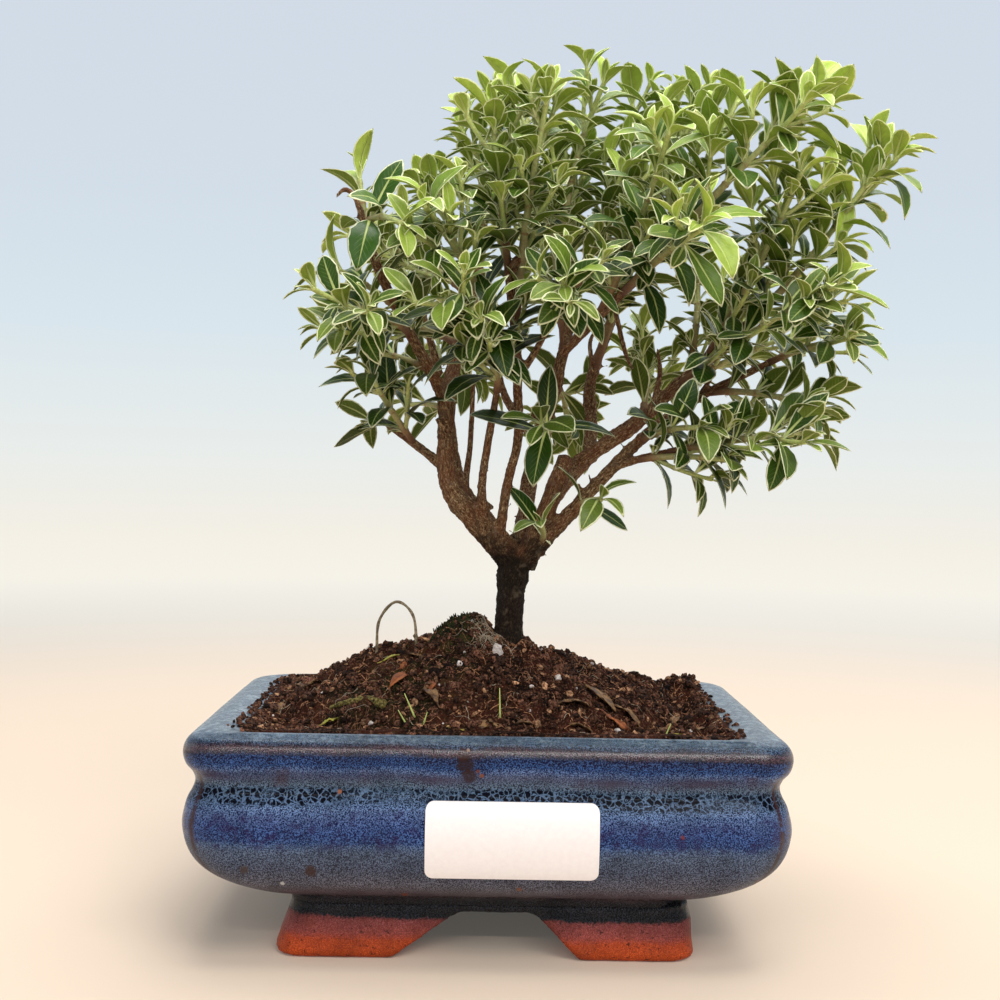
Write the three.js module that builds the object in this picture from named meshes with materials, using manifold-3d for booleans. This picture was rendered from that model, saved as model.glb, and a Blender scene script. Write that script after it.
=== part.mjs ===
// A serissa bonsai in a glazed rectangular pot. Millimetres, +Z up, standing on the plane z = 0.
// Every solid is modelled round the middle of the pot; the last group shifts the whole tree and pot
// together, so that the origin lies under the middle of the outermost leaves.
import * as THREE from 'three';
import { mergeVertices } from 'three/addons/utils/BufferGeometryUtils.js';
import Module from 'manifold-3d';

const wasm = await Module();
wasm.setup();

// ---- Driving dimensions -------------------------------------------------------------------------
const MIDDLE = [-18.4, -4, 0]; // pot centre, measured from the middle of the whole part
const GAP = 0.3; // clearance between pieces that touch

// Pot outside, from the feet up: [height, half width, half depth, corner radius].
const POT_OUTSIDE = [
  [0, 51, 43, 8],
  [12, 50, 42, 8],
  [15.5, 51, 43, 9],
  [17.5, 60.5, 47.5, 11],
  [21, 68.8, 51.5, 13],
  [26, 74, 54, 14],
  [33, 76, 55, 14],
  [39, 75, 54.2, 13],
  [42.3, 73.4, 52.2, 11],
  [44.6, 72.8, 51.5, 10],
  [46.8, 73.4, 52.4, 10],
  [49, 74.8, 53.8, 10],
  [51.5, 75.4, 54.3, 10],
  [53.8, 75, 54, 9.5],
  [55.8, 73.6, 52.8, 9],
  [56.8, 71.4, 50.6, 8],
];
// Pot inside, from the rim down to the floor.
const POT_INSIDE = [
  [56.8, 62.5, 46.6, 8],
  [55.6, 61, 45.3, 7],
  [20, 57, 40, 5],
];
const CORNER_STEPS = 3;
const FOOT = { recess: [38, 30, 5], recessTop: 13, archTop: 11.2 };
const FRONT_ARCH = { halfBottom: 26, halfTop: 12.5 };
const SIDE_ARCH = { halfBottom: 22, halfTop: 11 };
const DRAIN = { radius: 5.5, x: 27, sides: 16, meshRadius: 9, meshThickness: 0.8, meshSides: 12 };

// Soil: flat underside, filled against the wall, heaped round the trunk.
const SOIL = {
  bottom: 21.4, edge: 55, edgeDrop: 0.8, rise: 23, steepness: 0.7, roughness: 1.4,
  centreX: -3, spreadX: 57, spreadY: 44, longSide: 20, sidePoints: 4,
};
const SOIL_LUMPS = [
  { x: -8, y: -1, radius: 8, height: 5 },
  { x: 54, y: 18, radius: 11, height: 7 },
  { x: -48, y: 22, radius: 14, height: 2.5 },
  { x: -32, y: 2, radius: 13, height: 2.2 },
];
const SOIL_RINGS = [0.92, 0.76, 0.58, 0.42, 0.27, 0.13];

// Blank paper label on the front of the belly.
const LABEL = { left: -15, right: 27, bottom: 23.4, top: 42, corner: 2, thickness: 0.6 };

// Wood, from the foot in the soil up to the ends of the limbs: [x, y, z, radius] along centre lines.
const WOOD_SIDES = [[2.2, 6], [1.35, 5], [0, 4]]; // sides of a limb by the radius of its foot
const TRUNK_SIDES = 8;
const TRUNK_STEPS = 7;
const TRUNK = [[5, 0, 40, 6.2], [5, 0, 62, 5.6], [5, 0, 72, 4.9], [5.4, 0, 80, 4.1], [5.6, 0, 88, 4.1],
  [6, 0, 95, 4.6], [6.3, 0, 101, 5]];
const LIMBS = {
  left: [[6, 0, 97, 4.4], [0.8, -2, 103.2, 4.2], [-6, -5, 110.3, 3.5], [-11, -7, 116.4, 2.8], [-13, -9, 124, 2.5],
    [-13, -10, 140, 2.4], [-13.5, -9, 144, 2.3]],
  leftFront: [[-13.5, -9, 141, 2], [-18, -12, 150, 1.7], [-26, -21, 164, 1.5], [-32, -30, 177, 1.3],
    [-35, -34, 188, 0.8]],
  leftTop: [[-13, -9, 142, 2.1], [-11, -3, 153, 2], [-9, 3, 162, 1.9], [-7, 10, 171, 1.8],
    [-5, 16, 181, 1.5]],
  leftLow: [[-13.5, -8, 123, 1.5], [-20, -4, 128, 1.4], [-30, 3, 135, 1.1]],
  thin: [[-7, -5, 112, 1.3], [-7.5, -2, 120, 1], [-6.5, 1, 130, 0.9], [-6, 5, 148, 0.7]],
  innerLeft: [[-2, -4, 107, 1.6], [-3, -9, 117, 1.3], [-2, -13, 127, 1.2], [0.5, -20, 143, 1]],
  middle: [[2, -3, 104, 1.7], [4, -10, 119, 1.4], [6.5, -14, 131, 1.3], [6, -17, 145, 1.4],
    [5.5, -19, 156, 1.4], [3, -25, 174, 1.4]],
  middleLeft: [[6, -17, 147, 1.2], [1.5, -20, 155, 1], [-1, -22, 161, 0.9]],
  middleRight: [[6, -17, 147, 1.2], [10.5, -20, 154, 1], [14, -23, 161, 0.9]],
  upright: [[8, 1, 97, 3.4], [9.5, 4, 110, 2.3], [10, 6, 120, 2.1], [15, 7, 135, 1.9], [18, 5, 151, 1.7],
    [21, 4, 166, 1.5], [19.5, 7, 182, 1.2]],
  uprightRight: [[19, 4, 156, 1.6], [29, -5, 166, 1.4], [39, -16, 176, 1.2], [43.5, -21, 181, 1.1]],
  uprightFront: [[10.5, 6, 122, 1.2], [13, -3, 127, 1], [14, -12, 131, 0.9]],
  stump: [[9, -1, 96, 3.6], [14, -4, 109, 2.8], [19, -6, 123, 2.5], [20, -6, 126.5, 2.3]],
  right: [[18, -5, 118, 2.3], [23.5, 0, 125, 2.2], [38.5, 2, 135, 2.1], [52, -3, 148, 1.8],
    [65.5, -8, 160.5, 1.3]],
  rightBack: [[27, 1, 127.5, 2.1], [28, 9, 137, 2], [28, 15, 149, 1.9], [34, 22, 166, 1.4]],
  rightLow: [[9, -1, 97, 3], [17.5, -6, 106.5, 2.1], [29, -10, 120, 1.9], [40.5, -12, 132, 1.7],
    [53.5, -9, 142, 1.5], [75.5, -4, 153.5, 1]],
  rightSide: [[34, -12, 124.5, 1.4], [40.5, -15, 126.5, 1.1], [46.5, -18, 128, 1]],
  backLeft: [[6, 2, 97, 3.1], [1, 10, 105, 2.6], [-10, 26, 119, 2.2], [-14, 38, 140, 1.8],
    [-21, 47, 166, 1.2]],
  backRight: [[9, 3, 97, 3], [16.5, 12, 113, 2.4], [32, 28, 130, 2], [48, 38, 142, 1.7], [66, 46, 158, 1.3]],
  back: [[7, 4, 98, 3], [10, 15, 111, 2.4], [13, 27, 131, 2.1], [20, 36, 153, 1.8], [23, 43, 182, 1.2]],
  backTwig: [[13, 27, 131, 1.4], [4, 34, 144, 1.2], [0, 37, 158, 1]],
};

// Green shoots: [limb, place along it from 0 to 1, tip, size of its leaves where it isn't 1].
const SHOOTS = [
  ['leftLow', 1, [-35, 8, 135]],
  ['leftLow', 0.6, [-33, -20, 147]],
  ['leftFront', 0.22, [-36, -8, 154]],
  ['leftFront', 0.5, [-41, -30, 173]],
  ['leftFront', 0.8, [-36, -28, 197]],
  ['leftFront', 0.4, [-37, -48, 160]],
  ['leftFront', 0.9, [-23, -50, 181]],
  ['leftTop', 0.35, [-44, 18, 164]],
  ['leftTop', 0.75, [-44, 24, 191]],
  ['leftTop', 1, [-8, 14, 222]],
  ['middleLeft', 1, [-18, -48, 186]],
  ['middle', 1, [-2, -34, 213]],
  ['middle', 0.84, [12, -40, 217]],
  ['middleRight', 1, [16, -50, 167]],
  ['middle', 0.72, [-12, -52, 163]],
  ['innerLeft', 1, [-8, -36, 153], 1.15],
  ['uprightFront', 1, [12, -33, 134], 1.25],
  ['upright', 1, [29, 0, 231]],
  ['upright', 0.74, [4, 24, 234]],
  ['upright', 0.86, [48, 14, 229]],
  ['uprightRight', 1, [78, -38, 217], 1.2],
  ['uprightRight', 0.3, [42, -42, 207]],
  ['uprightRight', 0.62, [64, -12, 223]],
  ['uprightRight', 0.5, [48, -58, 180], 1.15],
  ['right', 1, [99, -26, 204], 1.25],
  ['right', 0.85, [77, -34, 200]],
  ['right', 0.72, [85, -42, 170]],
  ['rightBack', 1, [40, 30, 234]],
  ['rightBack', 0.7, [59, 26, 232]],
  ['rightLow', 1, [96, -18, 160]],
  ['rightLow', 0.85, [88, -10, 141]],
  ['rightLow', 0.58, [53, -32, 134]],
  ['rightLow', 0.3, [29, -18, 115]],
  ['rightLow', 0.12, [13, -14, 108]],
  ['rightSide', 1, [77, -32, 133], 1.15],
  ['rightSide', 0.35, [60, -30, 126]],
  ['backLeft', 1, [-32, 62, 190]],
  ['backLeft', 0.75, [-27, 52, 143]],
  ['backLeft', 0.9, [-5, 62, 155]],
  ['backTwig', 1, [-20, 36, 208]],
  ['back', 1, [24, 48, 226]],
  ['back', 0.85, [2, 62, 208]],
  ['back', 0.7, [24, 62, 136]],
  ['backRight', 1, [88, 56, 186]],
  ['backRight', 0.85, [92, 34, 166]],
  ['backRight', 0.7, [49, 64, 162]],
  ['backRight', 0.92, [62, 54, 206]],
];

// How a shoot leaves the side of its limb: the limb's and the upward share of its heading, and the
// share of its reach at which it bends.
const AXIS = { along: 0.5, up: 0.1, bend: 0.45 };
const STEM = { foot: 0.9, footPerLength: 0.006, tip: 0.75, sides: 4, steps: 2, bare: 0.2 };
const SIDE_STEM = {
  shortestParent: 22, foot: 0.75, tip: 0.65, sides: 3, steps: 1, bare: 0.38, chance: 0.42, pitch: 0.75,
  reachFoot: 20, reachTip: 9, reachSpread: 0.6, internodeScale: 0.75, leafScale: 0.82, tipLeafScale: 0.8,
};
const SPUR = { length: 5, extraRadius: 0.25, sides: 3 };
const INTERNODE = { foot: 8.5, tip: 5, turnSpread: 0.3, end: 3 };
const LEAF = {
  length: 14, lengthSpread: 0.36, shape: 0.42, shapeSpread: 0.14, tipScale: 0.85,
  pitchFoot: 1.3, pitchTip: 1, pitchSpread: 0.4, lift: 0.08, thickness: 0.7, arch: 0.12,
};
// The two pairs that close a stem: distance from its end, turn, scale and pitch.
const TIP_PAIRS = [[1.5, 0, 0.95, 0.75], [0.7, Math.PI / 2, 0.6, 0.4]];
const LEAVES_SHOWN = { every: 3, most: 7, sideStems: 1 }; // the solids carry a thinned choice of the leaves
const LEAF_CLEARANCE = 0.4;

// A dead rootlet that stands out of the soil in a hoop: its two feet, and the crown between them.
const ROOT_LOOP = {
  leftFoot: [-31.2, -6], crown: [[-30.6, -6, 80.5], [-26, -7, 85.8], [-21.2, -7.5, 82]], rightFoot: [-20, -8],
  radius: 0.45, steps: 9,
};

// Dead leaves on the soil: [x, y, heading in degrees, length, colour].
const FALLEN_LEAVES = [
  [-26.2, -10, 25, 6.5, 0xb8a83c],
  [-23.6, -22.5, 50, 8, 0x9c5a22],
  [-51.5, -6, 100, 8, 0x7a5a34],
  [-15, -32, 115, 8, 0x8a6a3e],
  [22, -30, 15, 9, 0x7d5c37],
  [37, -27, -25, 10, 0x6f5132],
];
const FALLEN = {
  width: 0.42, thickness: 0.7, stations: [[-0.5, 0.15], [-0.2, 0.85], [0.15, 1], [0.5, 0.12]],
};

// ---- Materials ----------------------------------------------------------------------------------
function material(color, roughness, metalness = 0) {
  return new THREE.MeshStandardMaterial({ color, roughness, metalness, flatShading: true });
}

const GLAZE = material(0x27406e, 0.25);
const MESH_PLASTIC = material(0x2b2f2c, 0.6);
const EARTH = material(0x33211a, 0.95);
const BARK = material(0x5a3d2b, 0.85);
const FOLIAGE = material(0x4d7a33, 0.45);
const DRY_ROOT = material(0x6b5b46, 0.8);
const PAPER = material(0xf4f4f2, 0.6);

// ---- Small helpers ------------------------------------------------------------------------------
const UP = new THREE.Vector3(0, 0, 1);
const SIDEWAYS = new THREE.Vector3(1, 0, 0);

function vector(point) {
  return new THREE.Vector3(point[0], point[1], point[2]);
}

// Seeded random numbers from 0 to 1.
function seeded(seed) {
  let state = seed >>> 0;
  return () => {
    state = (state + 0x6d2b79f5) >>> 0;
    let t = state;
    t = Math.imul(t ^ (t >>> 15), t | 1);
    t ^= t + Math.imul(t ^ (t >>> 7), t | 61);
    return ((t ^ (t >>> 14)) >>> 0) / 4294967296;
  };
}

// A random number spread evenly about a middle value.
function spread(draw, middle, width) {
  return middle + width * (draw() - 0.5);
}

// A closed mesh from vertices and triangles.
function meshFrom(points, triangles) {
  const geometry = new THREE.BufferGeometry();
  geometry.setAttribute('position', new THREE.Float32BufferAttribute(points.flatMap((p) => p.toArray()), 3));
  geometry.setIndex(triangles.flat());
  return geometry;
}

// A closed body through rings of equal count, each ring counterclockwise about the way it travels.
function loft(rings) {
  const count = rings[0].length;
  const triangles = [];
  for (let k = 0; k + 1 < rings.length; k++) {
    for (let i = 0; i < count; i++) {
      const a = k * count + i;
      const b = k * count + ((i + 1) % count);
      triangles.push([a, b, b + count], [a, b + count, a + count]);
    }
  }
  const last = (rings.length - 1) * count;
  for (let i = 1; i + 1 < count; i++) {
    triangles.push([0, i + 1, i], [last, last + i, last + i + 1]);
  }
  return meshFrom(rings.flat(), triangles);
}

function solid(geometry) {
  const plain = geometry.clone();
  plain.deleteAttribute('normal');
  plain.deleteAttribute('uv');
  const merged = mergeVertices(plain, 1e-4);
  return new wasm.Manifold(new wasm.Mesh({
    numProp: 3,
    vertProperties: new Float32Array(merged.attributes.position.array),
    triVerts: new Uint32Array(merged.index.array),
  }));
}

function geometryOf(body) {
  const mesh = body.getMesh();
  const geometry = new THREE.BufferGeometry();
  geometry.setAttribute('position', new THREE.BufferAttribute(new Float32Array(mesh.vertProperties), 3));
  geometry.setIndex(new THREE.BufferAttribute(new Uint32Array(mesh.triVerts), 1));
  return mergeVertices(geometry, 1e-4);
}

function joined(bodies) {
  return bodies.reduce((whole, body) => whole.add(body));
}

// A ring of a tube: points round a centre, square to the way it travels.
function circle(centre, along, side, radius, sides) {
  const across = new THREE.Vector3().crossVectors(along, side);
  return Array.from({ length: sides }, (_, i) => {
    const angle = (2 * Math.PI * i) / sides;
    return centre.clone()
      .addScaledVector(side, radius * Math.cos(angle))
      .addScaledVector(across, radius * Math.sin(angle));
  });
}

// A tapering tube along part of a curve, with flat ends.
function tube(curve, radiusAt, from, to, steps, sides) {
  const rings = [];
  let side = null;
  for (let k = 0; k <= steps; k++) {
    const t = from + ((to - from) * k) / steps;
    const along = curve.getTangent(t);
    side ??= new THREE.Vector3().crossVectors(along, Math.abs(along.z) < 0.9 ? UP : SIDEWAYS);
    side.addScaledVector(along, -side.dot(along)).normalize();
    rings.push(circle(curve.getPoint(t), along, side.clone(), radiusAt(t), sides));
  }
  return loft(rings);
}

// ---- Clearance between thin pieces --------------------------------------------------------------
// Stems and leaves are tested as capsules: a segment from a to b with a radius, and its owner's name.
function segmentDistance(p, q) {
  const d1 = q.a.clone().sub(p.a);
  const u = p.b.clone().sub(p.a);
  const v = q.b.clone().sub(q.a);
  const uu = Math.max(u.dot(u), 1e-9);
  const vv = Math.max(v.dot(v), 1e-9);
  const uv = u.dot(v);
  const ud = u.dot(d1);
  const vd = v.dot(d1);
  const determinant = uu * vv - uv * uv;
  let s = determinant > 1e-9 ? THREE.MathUtils.clamp((ud * vv - vd * uv) / determinant, 0, 1) : 0;
  const t = THREE.MathUtils.clamp((s * uv - vd) / vv, 0, 1);
  s = THREE.MathUtils.clamp((t * uv + ud) / uu, 0, 1);
  return d1.addScaledVector(v, t).addScaledVector(u, -s).length();
}

function isClear(capsule, others, clearance) {
  return others.every((other) => other.owner === capsule.owner
    || segmentDistance(capsule, other) > capsule.radius + other.radius + clearance);
}

function capsulesAlong(curve, radiusAt, from, to, steps, owner) {
  return Array.from({ length: steps }, (_, k) => {
    const t0 = from + ((to - from) * k) / steps;
    const t1 = from + ((to - from) * (k + 1)) / steps;
    const radius = Math.max(radiusAt(t0), radiusAt(t1));
    return { a: curve.getPoint(t0), b: curve.getPoint(t1), radius, owner };
  });
}

// ---- Pot ----------------------------------------------------------------------------------------
function roundedRing(z, halfWidth, halfDepth, corner) {
  const ring = [];
  for (let quarter = 0; quarter < 4; quarter++) {
    const signX = quarter === 0 || quarter === 3 ? 1 : -1;
    const signY = quarter < 2 ? 1 : -1;
    for (let k = 0; k <= CORNER_STEPS; k++) {
      const angle = (Math.PI / 2) * (quarter + k / CORNER_STEPS);
      ring.push(new THREE.Vector3(
        signX * (halfWidth - corner) + corner * Math.cos(angle),
        signY * (halfDepth - corner) + corner * Math.sin(angle),
        z,
      ));
    }
  }
  return ring;
}

// A tapering tunnel under the pot, from one side to the other along Y.
function archCutter({ halfBottom, halfTop }) {
  const outline = new THREE.Shape();
  outline.moveTo(-halfBottom, -2);
  outline.lineTo(halfBottom, -2);
  outline.lineTo(halfBottom, 0);
  outline.lineTo(halfTop, FOOT.archTop);
  outline.lineTo(-halfTop, FOOT.archTop);
  outline.lineTo(-halfBottom, 0);
  const reach = 2 * POT_OUTSIDE[6][1];
  const geometry = new THREE.ExtrudeGeometry(outline, { depth: reach, bevelEnabled: false });
  return geometry.translate(0, 0, -reach / 2).rotateX(Math.PI / 2);
}

function potGeometry() {
  const cup = loft([...POT_OUTSIDE, ...POT_INSIDE].map((row) => roundedRing(...row)));
  const [halfWidth, halfDepth, corner] = FOOT.recess;
  const recess = loft([-2, FOOT.recessTop].map((z) => roundedRing(z, halfWidth, halfDepth, corner)));
  let pot = solid(cup).subtract(solid(recess));
  pot = pot.subtract(solid(archCutter(FRONT_ARCH)));
  pot = pot.subtract(solid(archCutter(SIDE_ARCH).rotateZ(Math.PI / 2)));
  for (const x of [-DRAIN.x, DRAIN.x]) {
    const hole = new THREE.CylinderGeometry(DRAIN.radius, DRAIN.radius, 20, DRAIN.sides);
    pot = pot.subtract(solid(hole.rotateX(Math.PI / 2).translate(x, 0, FOOT.recessTop + 3)));
  }
  return geometryOf(pot);
}

function drainMeshGeometry(x) {
  const { meshRadius, meshThickness, meshSides } = DRAIN;
  const disc = new THREE.CylinderGeometry(meshRadius, meshRadius, meshThickness, meshSides);
  const middle = POT_INSIDE.at(-1)[0] + GAP + meshThickness / 2;
  return geometryOf(solid(disc.rotateX(Math.PI / 2).translate(x, 0, middle)));
}

// ---- Soil ---------------------------------------------------------------------------------------
// Half width, half depth and corner radius of the pot's inside at a height.
function insideAt(z) {
  const [, rim, floor] = POT_INSIDE;
  const share = (z - floor[0]) / (rim[0] - floor[0]);
  return [1, 2, 3].map((i) => THREE.MathUtils.lerp(floor[i], rim[i], share));
}

function soilHeight(x, y) {
  const reach = Math.hypot((x - SOIL.centreX) / SOIL.spreadX, y / SOIL.spreadY);
  let z = SOIL.edge + SOIL.rise * Math.max(0, 1 - reach) ** SOIL.steepness;
  for (const lump of SOIL_LUMPS) {
    z += lump.height * Math.exp(-((x - lump.x) ** 2 + (y - lump.y) ** 2) / lump.radius ** 2);
  }
  return z;
}

const trunkCurve = new THREE.CatmullRomCurve3(TRUNK.map(vector), false, 'catmullrom', 0.5);

// A rounded ring with points added along its straight sides.
function withSidePoints(ring) {
  return ring.flatMap((p, i) => {
    const next = ring[(i + 1) % ring.length];
    const count = p.distanceTo(next) > SOIL.longSide ? SOIL.sidePoints : 1;
    return Array.from({ length: count }, (_, k) => p.clone().lerp(next, k / count));
  });
}

// The trunk's own tube, or the hole that it stands in.
function trunkTube(clearance) {
  return tube(trunkCurve, (t) => radiusAlong(TRUNK, t) + clearance, 0, 1, TRUNK_STEPS, TRUNK_SIDES);
}

function soilGeometry() {
  const draw = seeded(11);
  const wallRing = (z) => {
    const [halfWidth, halfDepth, corner] = insideAt(z);
    return roundedRing(z, halfWidth - GAP, halfDepth - GAP, corner);
  };
  const edge = withSidePoints(wallRing(SOIL.edge - SOIL.edgeDrop));
  const rings = [withSidePoints(wallRing(SOIL.bottom)), edge];
  for (const share of SOIL_RINGS) {
    rings.push(edge.map((p) => {
      const angle = Math.atan2(p.y / SOIL.spreadY, (p.x - SOIL.centreX) / SOIL.spreadX);
      const x = THREE.MathUtils.lerp(SOIL.spreadX * Math.cos(angle), p.x - SOIL.centreX, share ** 2);
      const y = THREE.MathUtils.lerp(SOIL.spreadY * Math.sin(angle), p.y, share ** 2);
      const [px, py] = [SOIL.centreX + share * x, share * y];
      return new THREE.Vector3(px, py, spread(draw, soilHeight(px, py), SOIL.roughness));
    }));
  }
  const hole = trunkTube(GAP / Math.cos(Math.PI / TRUNK_SIDES));
  for (let i = 0; i < TRUNK_SIDES; i++) {
    hole.attributes.position.setZ(i, TRUNK[0][2] - GAP);
  }
  return geometryOf(solid(loft(rings)).subtract(solid(hole)));
}

// ---- Wood ---------------------------------------------------------------------------------------
function radiusAlong(points, t) {
  const place = t * (points.length - 1);
  const k = Math.min(Math.floor(place), points.length - 2);
  return THREE.MathUtils.lerp(points[k][3], points[k + 1][3], place - k);
}

const limbCurves = Object.fromEntries(Object.entries(LIMBS).map(
  ([name, points]) => [name, new THREE.CatmullRomCurve3(points.map(vector), false, 'catmullrom', 0.5)],
));

const woodCapsules = Object.entries(LIMBS).flatMap(([name, points]) => capsulesAlong(
  limbCurves[name], (t) => radiusAlong(points, t), 0, 1, 3 * (points.length - 1), 'wood',
));

// ---- Shoots -------------------------------------------------------------------------------------
// The axis of a shoot goes straight on from the end of its limb, or leaves its side partly along the
// limb, and then turns to its tip.
function shootAxis([limb, place, tip]) {
  const foot = limbCurves[limb].getPoint(place);
  const reach = vector(tip).sub(foot);
  const along = limbCurves[limb].getTangent(place);
  const slanted = reach.clone().normalize().addScaledVector(along, AXIS.along).addScaledVector(UP, AXIS.up);
  const heading = place === 1 ? along : slanted.normalize();
  const bend = foot.clone().addScaledVector(heading, AXIS.bend * reach.length());
  return new THREE.QuadraticBezierCurve3(foot, bend, vector(tip));
}

// The axis of a side stem, which leaves the axil of a leaf and curls towards the stem's own direction.
function sideAxis(leaf, along, reach) {
  const heading = along.clone().multiplyScalar(Math.cos(SIDE_STEM.pitch))
    .addScaledVector(leaf.radial, Math.sin(SIDE_STEM.pitch)).addScaledVector(UP, 0.15).normalize();
  const bend = leaf.base.clone().addScaledVector(heading, 0.5 * reach);
  const tip = bend.clone().addScaledVector(heading, 0.4 * reach)
    .addScaledVector(along, 0.15 * reach).addScaledVector(UP, 0.08 * reach);
  return new THREE.QuadraticBezierCurve3(leaf.base, bend, tip);
}

// Grows a pair of opposite leaves at one place on a stem.
function growPair(stem, t, angle, scale, pitch, draw, terminal) {
  const along = stem.curve.getTangent(t);
  const side = new THREE.Vector3().crossVectors(along, stem.reference).normalize();
  const across = new THREE.Vector3().crossVectors(along, side);
  const pair = [angle, angle + Math.PI].map((turn) => {
    const radial = side.clone().multiplyScalar(Math.cos(turn)).addScaledVector(across, Math.sin(turn));
    const tilt = spread(draw, pitch, LEAF.pitchSpread);
    const heading = along.clone().multiplyScalar(Math.cos(tilt)).addScaledVector(radial, Math.sin(tilt))
      .addScaledVector(UP, LEAF.lift).normalize();
    const face = along.clone().multiplyScalar(0.5).addScaledVector(UP, 0.6);
    face.addScaledVector(heading, -face.dot(heading)).normalize();
    const length = LEAF.length * stem.leafSize * scale * spread(draw, 1, LEAF.lengthSpread);
    const width = length * spread(draw, LEAF.shape, LEAF.shapeSpread);
    return { base: stem.curve.getPoint(t), place: t, heading, face, length, width, terminal, radial };
  });
  stem.leaves.push(...pair);
  return pair;
}

// Grows a stem (order 0) or a side stem (order 1): pairs of leaves, each turned square to the last,
// some with a side stem in the axil, and two close pairs at the tip.
function growStem(curve, length, order, leafSize, draw) {
  const reference = Math.abs(curve.getTangent(0.5).z) < 0.8 ? UP : SIDEWAYS;
  const stem = { curve, length, reference, order, leafSize, leaves: [], sideStems: [] };
  let angle = Math.PI * draw();
  let distance = (order ? SIDE_STEM.bare : STEM.bare) * length;
  while (distance < length - INTERNODE.end) {
    const t = distance / length;
    const scale = (order ? SIDE_STEM.leafScale : 1) * THREE.MathUtils.lerp(1, LEAF.tipScale, t);
    const pitch = THREE.MathUtils.lerp(LEAF.pitchFoot, LEAF.pitchTip, t);
    const pair = growPair(stem, t, angle, scale, pitch, draw, false);
    for (const leaf of order ? [] : pair) {
      const grows = draw() < SIDE_STEM.chance && length > SIDE_STEM.shortestParent;
      const reach = THREE.MathUtils.lerp(SIDE_STEM.reachFoot, SIDE_STEM.reachTip, t)
        * spread(draw, 1, SIDE_STEM.reachSpread);
      if (grows) {
        const axis = sideAxis(leaf, curve.getTangent(t), reach);
        stem.sideStems.push({ ...growStem(axis, reach, order + 1, leafSize, draw), place: t });
      }
    }
    angle += spread(draw, Math.PI / 2, INTERNODE.turnSpread);
    const internode = THREE.MathUtils.lerp(INTERNODE.foot, INTERNODE.tip, t);
    distance += internode * (order ? SIDE_STEM.internodeScale : 1);
  }
  const tipScale = (order ? SIDE_STEM.tipLeafScale : 1) * LEAF.tipScale;
  for (const [back, turn, scale, pitch] of TIP_PAIRS) {
    growPair(stem, 1 - back / length, angle + turn, scale * tipScale, pitch, draw, true);
  }
  return stem;
}

function stemRadius(stem) {
  const foot = stem.order ? SIDE_STEM.foot : STEM.foot + STEM.footPerLength * stem.length;
  const tip = stem.order ? SIDE_STEM.tip : STEM.tip;
  return (t) => THREE.MathUtils.lerp(foot, tip, t);
}

// A leaf blade: a foot in the stem, two stations and a pointed tip, arched along its length.
const BLADE_STATIONS = [[0.42, 0.86], [0.74, 0.84]];
const BLADE_TOP = [[0, 2, 1], [1, 2, 4], [1, 4, 3], [3, 4, 5]];
const BLADE_RIM = [0, 2, 4, 5, 3, 1];

function bladeGeometry({ base, heading, face, length, width }) {
  const side = new THREE.Vector3().crossVectors(heading, face);
  const at = (along, across) => base.clone().addScaledVector(heading, along * length)
    .addScaledVector(side, across).addScaledVector(face, 4 * LEAF.arch * length * along * (0.8 - along));
  const middle = [
    at(0, 0),
    ...BLADE_STATIONS.flatMap(([along, share]) => [-0.5, 0.5].map((edge) => at(along, edge * share * width))),
    at(1, 0),
  ];
  const top = middle.map((p) => p.clone().addScaledVector(face, LEAF.thickness / 2));
  const under = middle.map((p) => p.clone().addScaledVector(face, -LEAF.thickness / 2));
  const n = middle.length;
  const triangles = BLADE_TOP.flatMap(([a, b, c]) => [[a, b, c], [a + n, c + n, b + n]]);
  BLADE_RIM.forEach((a, i) => {
    const b = BLADE_RIM[(i + 1) % BLADE_RIM.length];
    triangles.push([a + n, b + n, b], [a + n, b, a]);
  });
  return meshFrom([...top, ...under], triangles);
}

function bladeCapsule(leaf, owner) {
  return {
    a: leaf.base.clone().addScaledVector(leaf.heading, 0.3 * leaf.length),
    b: leaf.base.clone().addScaledVector(leaf.heading, 0.85 * leaf.length),
    radius: 0.42 * leaf.width,
    owner,
  };
}

// A shoot that leaves the side of a limb is green only from where it stands clear of the wood: up to
// there, its foot is a woody spur. One at a limb's end is green from its foot.
function growShoot(row, i) {
  const [, place, , leafSize = 1] = row;
  const curve = shootAxis(row);
  const stem = growStem(curve, curve.getLength(), 0, leafSize, seeded(1000 + i));
  const owner = `shoot_${String(i + 1).padStart(2, '0')}`;
  const radiusAt = stemRadius(stem);
  const footClear = (t) => isClear({
    a: curve.getPoint(t), b: curve.getPoint(t + 0.05), radius: radiusAt(t), owner,
  }, woodCapsules, LEAF_CLEARANCE);
  const isLimbEnd = place === 1;
  let start = isLimbEnd ? 0 : SPUR.length / stem.length;
  while (!isLimbEnd && start < 0.6 && !footClear(start)) {
    start += 0.02;
  }
  return { owner, stem, start, radiusAt, sideStems: [], leaves: [] };
}

const spurRadius = (shoot) => (t) => shoot.radiusAt(t) + SPUR.extraRadius;
const isOnGreenPart = (shoot, piece) => piece.place > shoot.start + 1.5 / shoot.stem.length;

function chooseSideStems(shoot, taken) {
  for (const side of shoot.stem.sideStems.filter((piece) => isOnGreenPart(shoot, piece))) {
    const capsules = capsulesAlong(side.curve, stemRadius(side), 0.1, 1, 2, shoot.owner);
    if (shoot.sideStems.length < LEAVES_SHOWN.sideStems
        && capsules.every((capsule) => isClear(capsule, taken, LEAF_CLEARANCE))) {
      shoot.sideStems.push(side);
      taken.push(...capsules);
    }
  }
}

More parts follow.
